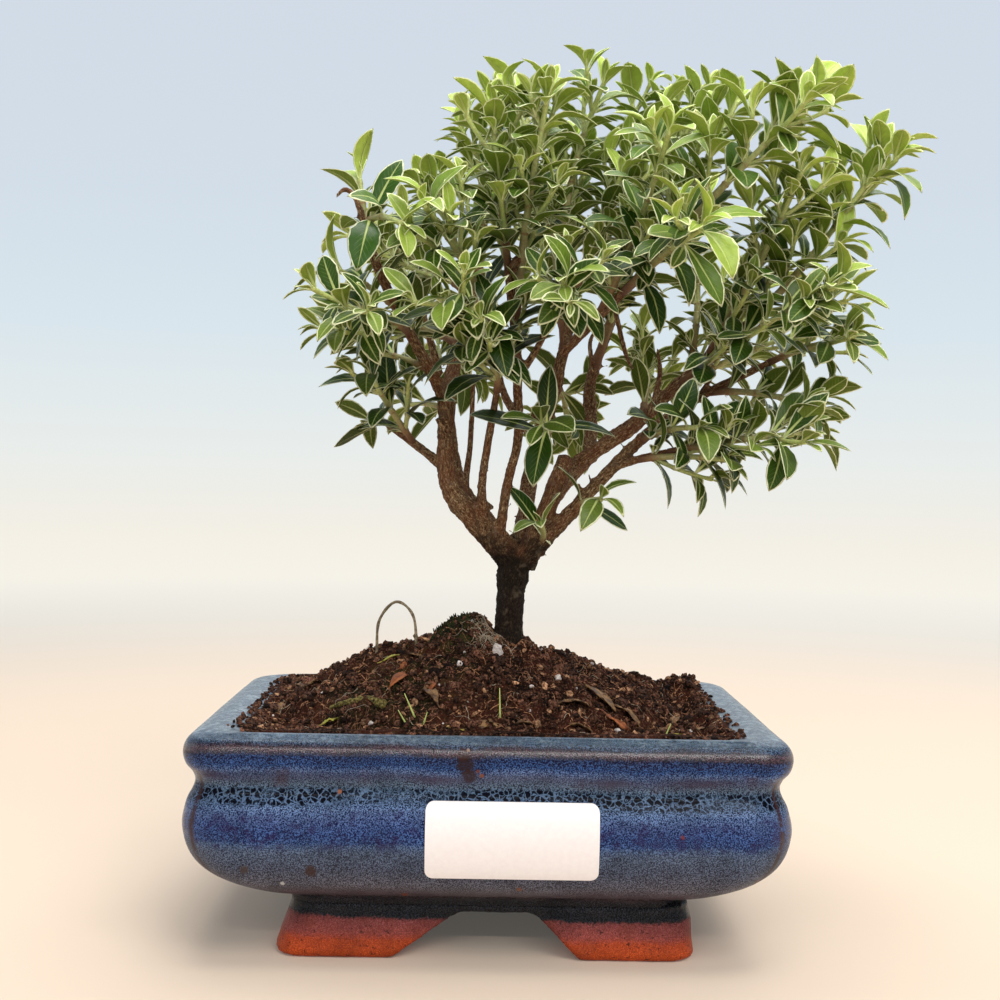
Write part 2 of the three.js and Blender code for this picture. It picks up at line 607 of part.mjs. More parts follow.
// Tip leaves come first, then an even choice of the others.
function chooseLeaves(shoot, taken) {
  const stems = [shoot.stem, ...shoot.sideStems];
  const all = stems.flatMap((stem) => stem.leaves.map((leaf) => ({ ...leaf, stem })));
  const tips = stems.flatMap((stem) => all
    .filter((leaf) => leaf.stem === stem && leaf.terminal).slice(0, stem.order ? 1 : 2));
  const others = all.filter((leaf) => !leaf.terminal && (leaf.stem.order || isOnGreenPart(shoot, leaf)));
  for (const leaf of [...tips, ...others.filter((_, i) => i % LEAVES_SHOWN.every === 0)]) {
    const capsule = bladeCapsule(leaf, shoot.owner);
    if (shoot.leaves.length < LEAVES_SHOWN.most && isClear(capsule, taken, LEAF_CLEARANCE)) {
      shoot.leaves.push(leaf);
      taken.push(capsule);
    }
  }
}

// All stems are placed first, so that every side stem and leaf is tested against every stem.
function growCrown() {
  const crown = SHOOTS.map(growShoot);
  const taken = [...woodCapsules];
  for (const shoot of crown) {
    const { owner, start, stem, radiusAt } = shoot;
    taken.push(...capsulesAlong(stem.curve, spurRadius(shoot), 0, start, start > 0 ? 2 : 0, `${owner} spur`));
    taken.push(...capsulesAlong(stem.curve, radiusAt, start, 1, 6, owner));
  }
  crown.forEach((shoot) => chooseSideStems(shoot, taken));
  crown.forEach((shoot) => chooseLeaves(shoot, taken));
  return crown;
}

const shoots = growCrown();

// A point of the straight pieces that a tube along a curve is made of.
function chordPoint(curve, from, steps, t) {
  const place = (steps * (t - from)) / (1 - from);
  const k = Math.min(Math.floor(place), steps - 1);
  const [a, b] = [k, k + 1].map((step) => curve.getPoint(from + ((1 - from) * step) / steps));
  return a.lerp(b, place - k);
}

// One body: the stem, its side stem and their leaves, each foot sunk in the straight piece that it leaves.
function shootGeometry({ stem, start, radiusAt, sideStems, leaves }) {
  const begin = start + GAP / stem.length;
  const bodies = [solid(tube(stem.curve, radiusAt, begin, 1, STEM.steps, STEM.sides))];
  const blades = (owner, from, steps, shift) => leaves.filter((leaf) => leaf.stem === owner).map((leaf) => {
    const base = chordPoint(owner.curve, from, steps, leaf.place).add(shift);
    return solid(bladeGeometry({ ...leaf, base }));
  });
  bodies.push(...blades(stem, begin, STEM.steps, new THREE.Vector3()));
  for (const side of sideStems) {
    const shift = chordPoint(stem.curve, begin, STEM.steps, side.place).sub(side.curve.getPoint(0));
    const sideTube = tube(side.curve, stemRadius(side), 0, 1, SIDE_STEM.steps, SIDE_STEM.sides);
    bodies.push(solid(sideTube.translate(...shift.toArray())), ...blades(side, 0, SIDE_STEM.steps, shift));
  }
  return geometryOf(joined(bodies));
}

function woodGeometry() {
  const bodies = [solid(trunkTube(0))];
  for (const [name, points] of Object.entries(LIMBS)) {
    const steps = points.length - 1;
    const [, sides] = WOOD_SIDES.find(([radius]) => points[0][3] >= radius);
    bodies.push(solid(tube(limbCurves[name], (t) => radiusAlong(points, t), 0, 1, steps, sides)));
  }
  for (const shoot of shoots.filter(({ start }) => start > 0)) {
    bodies.push(solid(tube(shoot.stem.curve, spurRadius(shoot), 0, shoot.start, 1, SPUR.sides)));
  }
  return geometryOf(joined(bodies));
}

// ---- Litter, root loop and label ----------------------------------------------------------------
const soil = new THREE.Mesh(soilGeometry(), EARTH);

// Height of the finished soil under a point.
function groundAt(x, y) {
  const ray = new THREE.Raycaster(new THREE.Vector3(x, y, 120), new THREE.Vector3(0, 0, -1));
  return ray.intersectObject(soil)[0].point.z;
}

// A dead leaf that lies along the ground: four rings of a thin blade, lifted clear of the bumps.
function fallenLeafGeometry([x, y, heading, length]) {
  const turn = THREE.MathUtils.degToRad(heading);
  const under = FALLEN.stations.map(([along, share]) => [-0.5, 0.5].map((edge) => {
    const across = edge * share * FALLEN.width * length;
    const px = x + along * length * Math.cos(turn) - across * Math.sin(turn);
    const py = y + along * length * Math.sin(turn) + across * Math.cos(turn);
    return new THREE.Vector3(px, py, groundAt(px, py));
  }));
  const corners = under.flat();
  const bump = Math.max(...corners.flatMap((a) => corners.map((b) => {
    const between = a.clone().lerp(b, 0.5);
    return groundAt(between.x, between.y) - between.z;
  })));
  return loft(under.map(([right, left]) => {
    const lifted = [right, left].map((p) => p.clone().addScaledVector(UP, bump + GAP));
    const top = lifted.map((p) => p.clone().addScaledVector(UP, FALLEN.thickness));
    return [lifted[0], lifted[1], top[1], top[0]];
  }));
}

function rootLoopGeometry() {
  const stand = ([x, y]) => [x, y, GAP + Math.max(...[-1, 1].flatMap((side) => [
    groundAt(x + side * ROOT_LOOP.radius, y), groundAt(x, y + side * ROOT_LOOP.radius),
  ]))];
  const points = [stand(ROOT_LOOP.leftFoot), ...ROOT_LOOP.crown, stand(ROOT_LOOP.rightFoot)];
  const curve = new THREE.CatmullRomCurve3(points.map(vector));
  return tube(curve, () => ROOT_LOOP.radius, 0, 1, ROOT_LOOP.steps, 4);
}

// Half depth of the pot's outside at a height.
function bellyDepth(z) {
  const k = POT_OUTSIDE.findIndex((row) => row[0] > z);
  const [below, above] = [POT_OUTSIDE[k - 1], POT_OUTSIDE[k]];
  return THREE.MathUtils.lerp(below[2], above[2], (z - below[0]) / (above[0] - below[0]));
}

function labelGeometry() {
  const corner = [[0, 1], [0.4, 0.4], [1, 0]].map((row) => row.map((share) => share * LABEL.corner));
  const rows = [
    ...corner.map(([rise, inset]) => [LABEL.bottom + rise, inset]),
    ...POT_OUTSIDE.map(([z]) => [z, 0]).filter(([z]) => z > LABEL.bottom + LABEL.corner
      && z < LABEL.top - LABEL.corner),
    ...corner.reverse().map(([drop, inset]) => [LABEL.top - drop, inset]),
  ];
  return loft(rows.map(([z, inset]) => {
    const back = -bellyDepth(z) - GAP;
    const corners = [
      [LABEL.left + inset, back - LABEL.thickness], [LABEL.right - inset, back - LABEL.thickness],
      [LABEL.right - inset, back], [LABEL.left + inset, back],
    ];
    return corners.map(([x, y]) => new THREE.Vector3(x, y, z));
  }));
}

// ---- Assembly -----------------------------------------------------------------------------------
const bonsai = new THREE.Group();
bonsai.position.set(...MIDDLE);

function place(name, geometry, finish) {
  const mesh = new THREE.Mesh(geometry, finish);
  mesh.name = name;
  bonsai.add(mesh);
}

place('pot', potGeometry(), GLAZE);
place('drain_mesh_left', drainMeshGeometry(-DRAIN.x), MESH_PLASTIC);
place('drain_mesh_right', drainMeshGeometry(DRAIN.x), MESH_PLASTIC);
place('soil', soil.geometry, EARTH);
place('trunk', woodGeometry(), BARK);
place('label', labelGeometry(), PAPER);
place('root_loop', rootLoopGeometry(), DRY_ROOT);
FALLEN_LEAVES.forEach((row, i) => {
  place(`fallen_leaf_${i + 1}`, fallenLeafGeometry(row), material(row[4], 0.7));
});
shoots.forEach((shoot) => place(shoot.owner, shootGeometry(shoot), FOLIAGE));

export default bonsai;
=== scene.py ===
"""Serissa bonsai in a blue glazed pot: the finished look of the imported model.

Lengths are millimetres from the middle of the pot's foot until a mesh is made: there they are shifted to
the frame's origin and turned into metres.
"""
import math

import bpy
import numpy as np
from mathutils import Matrix, Vector, noise
from mathutils.kdtree import KDTree


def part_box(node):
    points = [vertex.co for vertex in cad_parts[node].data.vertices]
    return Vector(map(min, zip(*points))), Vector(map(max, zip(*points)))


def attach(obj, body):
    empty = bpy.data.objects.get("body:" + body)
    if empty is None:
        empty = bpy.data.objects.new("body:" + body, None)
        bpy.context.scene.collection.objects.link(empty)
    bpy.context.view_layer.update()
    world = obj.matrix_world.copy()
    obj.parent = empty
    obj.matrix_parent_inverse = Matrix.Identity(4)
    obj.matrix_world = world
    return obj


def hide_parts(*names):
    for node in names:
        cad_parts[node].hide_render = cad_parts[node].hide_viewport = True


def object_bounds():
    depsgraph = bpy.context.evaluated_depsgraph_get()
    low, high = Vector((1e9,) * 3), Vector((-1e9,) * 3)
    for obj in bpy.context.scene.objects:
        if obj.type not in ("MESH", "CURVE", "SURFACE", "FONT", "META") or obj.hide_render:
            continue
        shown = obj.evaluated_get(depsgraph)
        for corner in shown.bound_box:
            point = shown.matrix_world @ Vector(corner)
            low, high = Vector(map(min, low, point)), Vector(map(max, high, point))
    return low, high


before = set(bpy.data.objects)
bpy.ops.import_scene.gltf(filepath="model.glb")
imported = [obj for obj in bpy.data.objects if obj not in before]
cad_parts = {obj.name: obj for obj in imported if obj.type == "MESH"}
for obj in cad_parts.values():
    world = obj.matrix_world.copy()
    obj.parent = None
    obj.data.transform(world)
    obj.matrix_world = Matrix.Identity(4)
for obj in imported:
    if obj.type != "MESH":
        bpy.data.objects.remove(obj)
cad_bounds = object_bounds()

MM = 0.001
POT_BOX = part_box("pot")
MIDDLE = np.array([(POT_BOX[0][i] + POT_BOX[1][i]) / 2 / MM for i in (0, 1)] + [0.0])
UP = np.array([0.0, 0.0, 1.0])
FULL_TURN = 2 * math.pi

# ---- Pot: outlines are rows of [height, half width, half depth, corner radius] ------------------
POT_OUTSIDE = [
    [13, 49.5, 41.5, 8], [15.5, 51, 43, 9], [17.5, 60.5, 47.5, 11], [21, 68.8, 51.5, 13], [26, 74, 54, 14],
    [33, 76, 55, 14], [39, 75, 54.2, 13], [42.3, 73.4, 52.2, 11], [44.6, 72.8, 51.5, 10], [46.8, 73.4, 52.4, 10],
    [49, 74.8, 53.8, 10], [51.5, 75.4, 54.3, 10], [53.8, 75, 54, 9.5], [55.8, 73.6, 52.8, 9], [56.8, 71.4, 50.6, 8],
]
RIM_TOP = [[57.1, 69.3, 50, 8.2], [57.15, 67.2, 48.8, 7.2]]
POT_INSIDE = [
    [56.8, 64, 47.6, 9], [55.8, 61.2, 45.5, 7.2], [54, 61, 45.3, 7.1], [50, 60.5, 44.7, 6.9], [40, 59.4, 43.1, 6.3],
    [20, 57, 40, 5],
]
FOOT_OUTSIDE = [
    [0, 51.6, 42.6, 7], [0.8, 52.8, 43.6, 7], [3.2, 52.6, 43.4, 7.2], [12, 49.6, 41.6, 8], [14, 49.8, 41.8, 8],
]
# The hollow between the feet, and the arches through it, across: foot and top of the left slope, top and
# foot of the right one.
RECESS = [[-3, 38, 30, 5], [12.9, 38, 30, 5]]
ARCHES = {"front": (-23.8, -7, 12, 23.8), "side": (-20.5, -10.5, 10.5, 20.5)}
ARCH_TOP, ARCH_REACH = 11.2, 90
FOOT_VOXEL, WORN_ABOVE = 0.9, 0.35
OUTLINE_STEPS = {"outside": 5, "rim": 3, "inside": 3, "foot": 3}
# The right side of the foot ring leans out above the floor.
FOOT_LEAN = {"out": 2.2, "across": (25, 45), "up": (2, 11)}
DRAIN_X, DRAIN_RADIUS, FLOOR, FLOOR_THICKNESS = 27, 5.5, 20, 12
NET = {"radius": 8.7, "pitch": 1.45, "wire": 0.28, "edge_wire": 0.34, "weave": 0.16, "lift": 0.7}
LABEL = {"left": -15, "right": 27, "bottom": 23.4, "top": 42, "corner": 2, "thickness": 0.35, "gap": 0.15}

# ---- Soil ---------------------------------------------------------------------------------------
SOIL = {"bottom": 21.4, "edge": 55, "rise": 23, "steepness": 0.7, "centre_x": -3, "spread_x": 57, "spread_y": 44,
        "foot_x": 58, "foot_y": 40.5}
SOIL_GRID = (164, 120)
# The soil's edge, over the pot's inner lip.
EDGE = {"width": 6.0, "rise": 2.5, "wander": 0.25, "over_x": 0.5, "over_y": 2.2, "corner": 2.5, "ragged": 1.2,
        "inmost": 0.9}
# Lumps: [x, y, radius, height]. Clods and crumbs, and the ragged edge: [height, scale, seed] of each noise.
SOIL_LUMPS = [(-8, -1, 8, 5), (54, 18, 11, 7), (-48, 22, 14, 2.5), (-32, 2, 13, 2.2)]
CLODS = [(1.7, 0.11, 4.0), (1.4, 0.27, 7.0), (1.0, 0.62, 1.0), (0.6, 1.3, 2.0)]
RAGS = [(1.0, 0.13, 6.0), (0.6, 0.45, 3.0)]
TRUNK_X, TRUNK_CLEAR = 5, 6.0
LIP_CRUMBS = 420
# How far from the middle grains lie, and strands reach.
GRAINS_X, GRAINS_Y, STRANDS_X, STRANDS_Y = 61, 43.5, 62, 44.5
# Moss: the knoll by the trunk and a film down its front: [x, y, spread, how thick].
MOSS = [(-9, -1, 60, 1.0), (-22, -22, 300, 0.45)]
TUFTS = {"tries": 420, "x": (-9.5, 4.2), "y": (-2, 3.2), "radii": [0.16, 0.2, 0.17, 0.06]}
# Perlite that the photo shows: [x, y, size].
PERLITE = [(2, -14, 1.5), (18, -22, 0.9), (-8, -20, 0.8), (-30, -36, 0.7), (33, -33, 0.8)]
ROOT_LOOP = {"left": (-31.2, -6), "right": (-20, -8),
             "crown": [[-30.6, -6, 80.5], [-26, -7, 85.8], [-21.2, -7.5, 82]]}
ROOT_RADIUS = 0.4

# Dead leaves on the soil: [x, y, heading in degrees, length, curl, look].
FALLEN_LEAVES = [
    [-26.2, -10, 25, 6.5, 0.2, "yellow"], [-23.6, -22.5, 50, 8, 0.3, "orange"], [-51.5, -6, 100, 8, 0.8, "brown"],
    [-15, -32, 115, 8, 1.0, "brown"], [22, -30, 15, 9, 0.6, "brown"], [37, -27, -25, 10, 0.7, "brown"],
]
# Dry scraps that lie loose on the soil, in the scene alone: [x, y, heading, length, look].
SCRAPS = [
    [-20, -11.5, 150, 4.5, "brown"], [-23, -17, 60, 3.6, "orange"], [-18.5, -14, 95, 3, "brown"],
    [-15, -28, 85, 6, "orange"], [-41, -32.5, 5, 6.5, "yellow"], [-43, -37, 20, 5, "brown"],
    [-48, -9, 20, 5, "brown"], [-56, -12, 75, 6, "brown"], [-3, -41.5, 10, 9, "brown"],
    [-8, -42, 165, 6, "yellow"], [2.5, -41, 150, 7, "brown"], [9, -40, 20, 5, "brown"],
    [30, -24, -35, 12, "brown"], [33, -31, -10, 9, "orange"], [42, -36, 15, 7, "brown"],
    [47, -38, 160, 5, "yellow"], [55, -30, 60, 6, "brown"], [18, -20, 100, 5, "orange"],
    [24, -38, 5, 8, "brown"], [50, -16, 70, 6, "brown"], [-40, 12, 40, 6, "brown"], [20, 26, 140, 8, "brown"],
    [-20, 30, 80, 7, "brown"], [40, 30, 10, 7, "orange"], [-50, 30, 190, 8, "brown"], [-10, 40, 10, 6, "yellow"],
]
# A mossy stick, along its middle: [x, y, height over the soil, radius].
STICK = [[-41.5, -26, 0, 0.5], [-38, -26.5, 0.2, 0.8], [-34, -27.6, 0.4, 1.0], [-30, -29.6, 0.2, 1.1],
         [-27, -32, -0.2, 1.2]]
# Seedlings: [x, y, height, lean].
SEEDLINGS = [[-19, -38, 5.5, -0.75], [-20.5, -40, 4, -1.0], [-16.5, -39.5, 3, 0.5], [2.7, -39.5, 7, -0.05],
             [44, -40, 4, 0.7]]

# ---- Wood: [x, y, z, radius] along each centre line ---------------------------------------------
TRUNK = [[5, 0, 40, 6.2], [5, 0, 62, 5.6], [5, 0, 72, 4.9], [5.4, 0, 80, 4.1], [5.6, 0, 88, 4.1],
         [6, 0, 95, 4.6], [6.3, 0, 101, 5]]
LIMBS = {
    "left": [[6, 0, 97, 4.4], [0.8, -2, 103.2, 4.2], [-6, -5, 110.3, 3.5], [-11, -7, 116.4, 2.8],
             [-13, -9, 124, 2.5], [-13, -10, 140, 2.4], [-13.5, -9, 144, 2.3]],
    "leftFront": [[-13.5, -9, 141, 2], [-18, -12, 150, 1.7], [-26, -21, 164, 1.5], [-32, -30, 177, 1.3],
                  [-35, -34, 188, 0.8]],
    "leftTop": [[-13, -9, 142, 2.1], [-11, -3, 153, 2], [-9, 3, 162, 1.9], [-7, 10, 171, 1.8],
                [-5, 16, 181, 1.5]],
    "leftLow": [[-13.5, -8, 123, 1.5], [-20, -4, 128, 1.4], [-30, 3, 135, 1.1]],
    "thin": [[-7, -5, 112, 1.3], [-7.5, -2, 120, 1], [-6.5, 1, 130, 0.9], [-6, 5, 148, 0.7]],
    "innerLeft": [[-2, -4, 107, 1.6], [-3, -9, 117, 1.3], [-2, -13, 127, 1.2], [0.5, -20, 143, 1]],
    "middle": [[2, -3, 104, 1.7], [4, -10, 119, 1.4], [6.5, -14, 131, 1.3], [6, -17, 145, 1.4],
               [5.5, -19, 156, 1.4], [3, -25, 174, 1.4]],
    "middleLeft": [[6, -17, 147, 1.2], [1.5, -20, 155, 1], [-1, -22, 161, 0.9]],
    "middleRight": [[6, -17, 147, 1.2], [10.5, -20, 154, 1], [14, -23, 161, 0.9]],
    "upright": [[8, 1, 97, 3.4], [9.5, 4, 110, 2.3], [10, 6, 120, 2.1], [15, 7, 135, 1.9], [18, 5, 151, 1.7],
                [21, 4, 166, 1.5], [19.5, 7, 182, 1.2]],
    "uprightRight": [[19, 4, 156, 1.6], [29, -5, 166, 1.4], [39, -16, 176, 1.2], [43.5, -21, 181, 1.1]],
    "uprightFront": [[10.5, 6, 122, 1.2], [13, -3, 127, 1], [14, -12, 131, 0.9]],
    "stump": [[9, -1, 96, 3.6], [14, -4, 109, 2.8], [19, -6, 123, 2.5], [20, -6, 126.5, 2.3]],
    "right": [[18, -5, 118, 2.3], [23.5, 0, 125, 2.2], [38.5, 2, 135, 2.1], [52, -3, 148, 1.8],
              [65.5, -8, 160.5, 1.3]],
    "rightBack": [[27, 1, 127.5, 2.1], [28, 9, 137, 2], [28, 15, 149, 1.9], [34, 22, 166, 1.4]],
    "rightLow": [[9, -1, 97, 3], [17.5, -6, 106.5, 2.1], [29, -10, 120, 1.9], [40.5, -12, 132, 1.7],
                 [53.5, -9, 142, 1.5], [75.5, -4, 153.5, 1]],
    "rightSide": [[34, -12, 124.5, 1.4], [40.5, -15, 126.5, 1.1], [46.5, -18, 128, 1]],
    "backLeft": [[6, 2, 97, 3.1], [1, 10, 105, 2.6], [-10, 26, 119, 2.2], [-14, 38, 140, 1.8],
                 [-21, 47, 166, 1.2]],
    "backRight": [[9, 3, 97, 3], [16.5, 12, 113, 2.4], [32, 28, 130, 2], [48, 38, 142, 1.7], [66, 46, 158, 1.3]],
    "back": [[7, 4, 98, 3], [10, 15, 111, 2.4], [13, 27, 131, 2.1], [20, 36, 153, 1.8], [23, 43, 182, 1.2]],
    "backTwig": [[13, 27, 131, 1.4], [4, 34, 144, 1.2], [0, 37, 158, 1]],
}
# Dead twigs and cut stubs, which only the finished wood has.
TWIGS = [
    [[-35, -34, 187, 0.8], [-36.5, -35, 191, 0.75], [-39, -35.5, 192.5, 0.7], [-41, -35.5, 190.5, 0.45]],
    [[33, -2, 168, 0.8], [36, -3, 156, 0.7], [38, -5, 151, 0.5]],
    [[27, -8, 150, 0.75], [26, -6, 158, 0.65], [28.5, -5, 163, 0.45]],
    [[44, 0, 140, 0.9], [46, -1, 150, 0.8], [45, -3, 157, 0.5]],
    [[3, -25, 173, 1.7], [4.5, -26, 176, 1.6], [6, -26, 178, 1.1]],
    [[-8, -4, 113, 0.9], [-11, -3, 118, 0.6]],
    [[0, -5, 112, 0.8], [-3.5, -8, 115, 0.5]],
    [[24, -9, 117, 0.9], [23, -11, 119, 0.7]],
    [[14, 8, 133, 0.8], [11, 9, 139, 0.5]],
    [[-13.2, -11, 133, 1.0], [-15.5, -13, 136, 0.7]],
    [[57, -7, 145, 0.9], [59, -11, 149, 0.6]],
]
# Broken twig ends: one ring in so many may carry one, and how far it stands off the bark.
SPURS = {"every": 6, "chance": 0.5, "reach": (0.5, 2.4)}
WOOD_VOXEL, RING_STEP, KNOT_STEP = 0.52, 1.1, 14

# ---- Green shoots: [limb, place along it from 0 to 1, tip, size of its leaves where it isn't 1] --
SHOOTS = [
    ["leftLow", 1, [-35, 8, 135]], ["leftLow", 0.6, [-33, -20, 147]],
    ["leftFront", 0.22, [-36, -8, 154]], ["leftFront", 0.5, [-41, -30, 173]],
    ["leftFront", 0.8, [-36, -28, 197]], ["leftFront", 0.4, [-37, -48, 160]],
    ["leftFront", 0.9, [-23, -50, 181]], ["leftTop", 0.35, [-44, 18, 164]],
    ["leftTop", 0.75, [-44, 24, 191]], ["leftTop", 1, [-8, 14, 222]],
    ["middleLeft", 1, [-18, -48, 186]], ["middle", 1, [-2, -34, 213]], ["middle", 0.84, [12, -40, 217]],
    ["middleRight", 1, [16, -50, 167]], ["middle", 0.72, [-12, -52, 163]],
    ["innerLeft", 1, [-8, -36, 153], 1.15], ["uprightFront", 1, [12, -33, 134], 1.25], ["upright", 1, [29, 0, 231]],
    ["upright", 0.74, [4, 24, 234]], ["upright", 0.86, [48, 14, 229]],
    ["uprightRight", 1, [78, -38, 217], 1.2], ["uprightRight", 0.3, [42, -42, 207]],
    ["uprightRight", 0.62, [64, -12, 223]], ["uprightRight", 0.5, [48, -58, 180], 1.15],
    ["right", 1, [99, -26, 204], 1.25], ["right", 0.85, [77, -34, 200]], ["right", 0.72, [85, -42, 170]],
    ["rightBack", 1, [40, 30, 234]], ["rightBack", 0.7, [59, 26, 232]], ["rightLow", 1, [96, -18, 160]],
    ["rightLow", 0.85, [88, -10, 141]], ["rightLow", 0.58, [53, -32, 134]],
    ["rightLow", 0.3, [29, -18, 115]], ["rightLow", 0.12, [13, -14, 108]],
    ["rightSide", 1, [77, -32, 133], 1.15], ["rightSide", 0.35, [60, -30, 126]],
    ["backLeft", 1, [-32, 62, 190]], ["backLeft", 0.75, [-27, 52, 143]],
    ["backLeft", 0.9, [-5, 62, 155]], ["backTwig", 1, [-20, 36, 208]], ["back", 1, [24, 48, 226]],
    ["back", 0.85, [2, 62, 208]], ["back", 0.7, [24, 62, 136]], ["backRight", 1, [88, 56, 186]],
    ["backRight", 0.85, [92, 34, 166]], ["backRight", 0.7, [49, 64, 162]],
    ["backRight", 0.92, [62, 54, 206]],
]
AXIS = {"along": 0.5, "up": 0.1, "bend": 0.45}
STEM = {"foot": 0.9, "foot_per_length": 0.006, "tip": 0.75, "bare": 0.2, "internode_scale": 1, "leaf_scale": 1,
        "tip_leaf_scale": 1}
SIDE_STEM = {"foot": 0.75, "foot_per_length": 0, "tip": 0.65, "bare": 0.38, "internode_scale": 0.75,
             "leaf_scale": 0.82, "tip_leaf_scale": 0.8}
SIDE_GROWTH = {"shortest_parent": 22, "chance": 0.42, "pitch": 0.75, "reach_foot": 20, "reach_tip": 9,
               "reach_spread": 0.6}
INTERNODE = {"foot": 8.5, "tip": 5, "turn_spread": 0.3, "end": 3}
LEAF = {
    "length": 14, "length_spread": 0.36, "shape": 0.42, "shape_spread": 0.14, "tip_scale": 0.85,
    "pitch_foot": 1.3, "pitch_tip": 1, "pitch_spread": 0.4, "lift": 0.08, "arch": 0.12, "thickness": 0.3,
}
# The rosette at a tip: [distance back from it, turn, size, pitch] of each pair.
TIP_PAIRS = [(1.5, 0, 0.95, 0.75), (0.7, math.pi / 2, 0.6, 0.4)]
# The finished leaves are fuller than those of the solids, but pass the solids' box, or hang below the crown's
# foot, by no more than the spare.
FULLER = {"length": 1.17, "width": 1.11}
BOX_SPARE, CROWN_FOOT, SHORTEST_LEAF = 2.5, 106, 3.0
# Small leaves in the axils, which only the finished crown has.
AXIL = {"chance": 0.26, "shortest": 4.5, "longest": 8.5, "out": 0.8, "splay": 0.65, "shortest_parent": 22}
# A blade: half width at places along it, as a share of its widest, and places across it.
ALONG = np.array([0, 0.07, 0.18, 0.33, 0.49, 0.65, 0.8, 0.92, 1.0])
OUTLINE = np.array([0.11, 0.17, 0.36, 0.69, 0.94, 0.98, 0.78, 0.41, 0.03])
ACROSS = np.array([-1, -0.86, -0.44, 0, 0.44, 0.86, 1.0])
# How single blades differ, and how deep the groove and the rib of each are.
BLADE = {
    "taper": (-0.1, 0.1), "arch": (-0.09, 0.11), "fold": (0.1, 0.3), "young_fold": 0.2, "recurve": (0.0, 0.12),
    "ripple": (-0.05, 0.05), "twist": (-0.35, 0.35), "sway": (-0.07, 0.07), "groove": 0.12, "ridge": 0.22,
}
# Light in the crown: full above one height and outside, little below another and in the middle.
CROWN = {"middle_x": 8, "reach_x": 85, "reach_y": 62, "dim": 148, "bright": 222, "under": (134, 112)}


# ---- Vectors and curves -------------------------------------------------------------------------
def unit(v):
    v = np.asarray(v, float)
    return v / np.linalg.norm(v, axis=-1, keepdims=True)


def lerp(a, b, t):
    return a + (b - a) * t


def smoothstep(low, high, x):
    t = np.clip((x - low) / (high - low), 0, 1)
    return t * t * (3 - 2 * t)


def noise_at(points, scale, seed=0.0):
    """Perlin noise, about -1 to 1, at each point."""
    return np.array([noise.noise(Vector(p)) for p in (np.asarray(points) * scale + seed)])


class Curve:
    """What each kind of curve below can do: point(t) gives its place at t, from 0 to 1."""

    def tangent(self, t):
        return unit(self.point(np.minimum(t + 1e-4, 1)) - self.point(np.maximum(t - 1e-4, 0)))


class CatmullRom(Curve):
    """A uniform Catmull-Rom curve through points, led on straight at its ends."""

    def __init__(self, points):
        p = np.array(points, float)
        self.points = np.vstack([2 * p[0] - p[1], p, 2 * p[-1] - p[-2]])
        self.spans = len(p) - 1

    def point(self, t):
        place = np.clip(np.asarray(t, float), 0, 1) * self.spans
        k = np.minimum(place.astype(int), self.spans - 1)
        w = (place - k)[..., None]
        a, b, c, d = (self.points[k + i] for i in range(4))
        m0, m1 = 0.5 * (c - a), 0.5 * (d - b)
        return b + m0 * w + (3 * (c - b) - 2 * m0 - m1) * w ** 2 + (2 * (b - c) + m0 + m1) * w ** 3


class Bend(Curve):
    """A quadratic curve from a foot to a tip."""

    def __init__(self, foot, bend, tip):
        self.foot, self.bend, self.tip = foot, bend, tip

    def point(self, t):
        t = np.asarray(t, float)[..., None]
        return (1 - t) ** 2 * self.foot + 2 * t * (1 - t) * self.bend + t ** 2 * self.tip

    def length(self):
        points = self.point(np.linspace(0, 1, 201))
        return float(np.linalg.norm(np.diff(points, axis=0), axis=1).sum())


def seeded(seed):
    """Random numbers from 0 to 1 that the solids' own rule draws too."""
    mask = 0xFFFFFFFF
    state = seed & mask

    def draw():
        nonlocal state
        state = (state + 0x6D2B79F5) & mask
        t = ((state ^ (state >> 15)) * (state | 1)) & mask
        t ^= (t + (((t ^ (t >> 7)) * (t | 61)) & mask)) & mask
        return ((t ^ (t >> 14)) & mask) / 4294967296

    return draw


def spread(draw, middle, width):
    return middle + width * (draw() - 0.5)


# ---- Growth: the same rule as the solids, with every leaf kept ----------------------------------
LIMB_CURVES = {name: CatmullRom([p[:3] for p in points]) for name, points in LIMBS.items()}


def shoot_axis(limb, place, tip):
    foot = LIMB_CURVES[limb].point(place)
    reach = np.array(tip, float) - foot
    along = LIMB_CURVES[limb].tangent(place)
    slanted = unit(unit(reach) + AXIS["along"] * along + AXIS["up"] * UP)
    heading = along if place == 1 else slanted
    return Bend(foot, foot + AXIS["bend"] * np.linalg.norm(reach) * heading, np.array(tip, float))


def side_axis(leaf, along, reach):
    pitch = SIDE_GROWTH["pitch"]
    heading = unit(along * math.cos(pitch) + leaf["radial"] * math.sin(pitch) + 0.15 * UP)
    bend = leaf["base"] + 0.5 * reach * heading
    return Bend(leaf["base"], bend, bend + reach * (0.4 * heading + 0.15 * along + 0.08 * UP))


def upper_face(along, heading):
    """Which way a leaf's upper face looks: onwards and up, square to the leaf."""
    face = 0.5 * along + 0.6 * UP
    return unit(face - face.dot(heading) * heading)


def grow_pair(stem, t, angle, scale, pitch, draw, terminal):
    along = stem["curve"].tangent(t)
    side = unit(np.cross(along, stem["reference"]))
    across = np.cross(along, side)
    pair = []
    for turn in (angle, angle + math.pi):
        radial = side * math.cos(turn) + across * math.sin(turn)
        tilt = spread(draw, pitch, LEAF["pitch_spread"])
        heading = unit(along * math.cos(tilt) + radial * math.sin(tilt) + LEAF["lift"] * UP)
        length = LEAF["length"] * stem["leaf_size"] * scale * spread(draw, 1, LEAF["length_spread"])
        width = length * spread(draw, LEAF["shape"], LEAF["shape_spread"])
        pair.append({"base": stem["curve"].point(t), "place": t, "heading": heading, "length": length,
                     "width": width, "face": upper_face(along, heading), "terminal": terminal, "radial": radial})
    stem["leaves"] += pair
    return pair


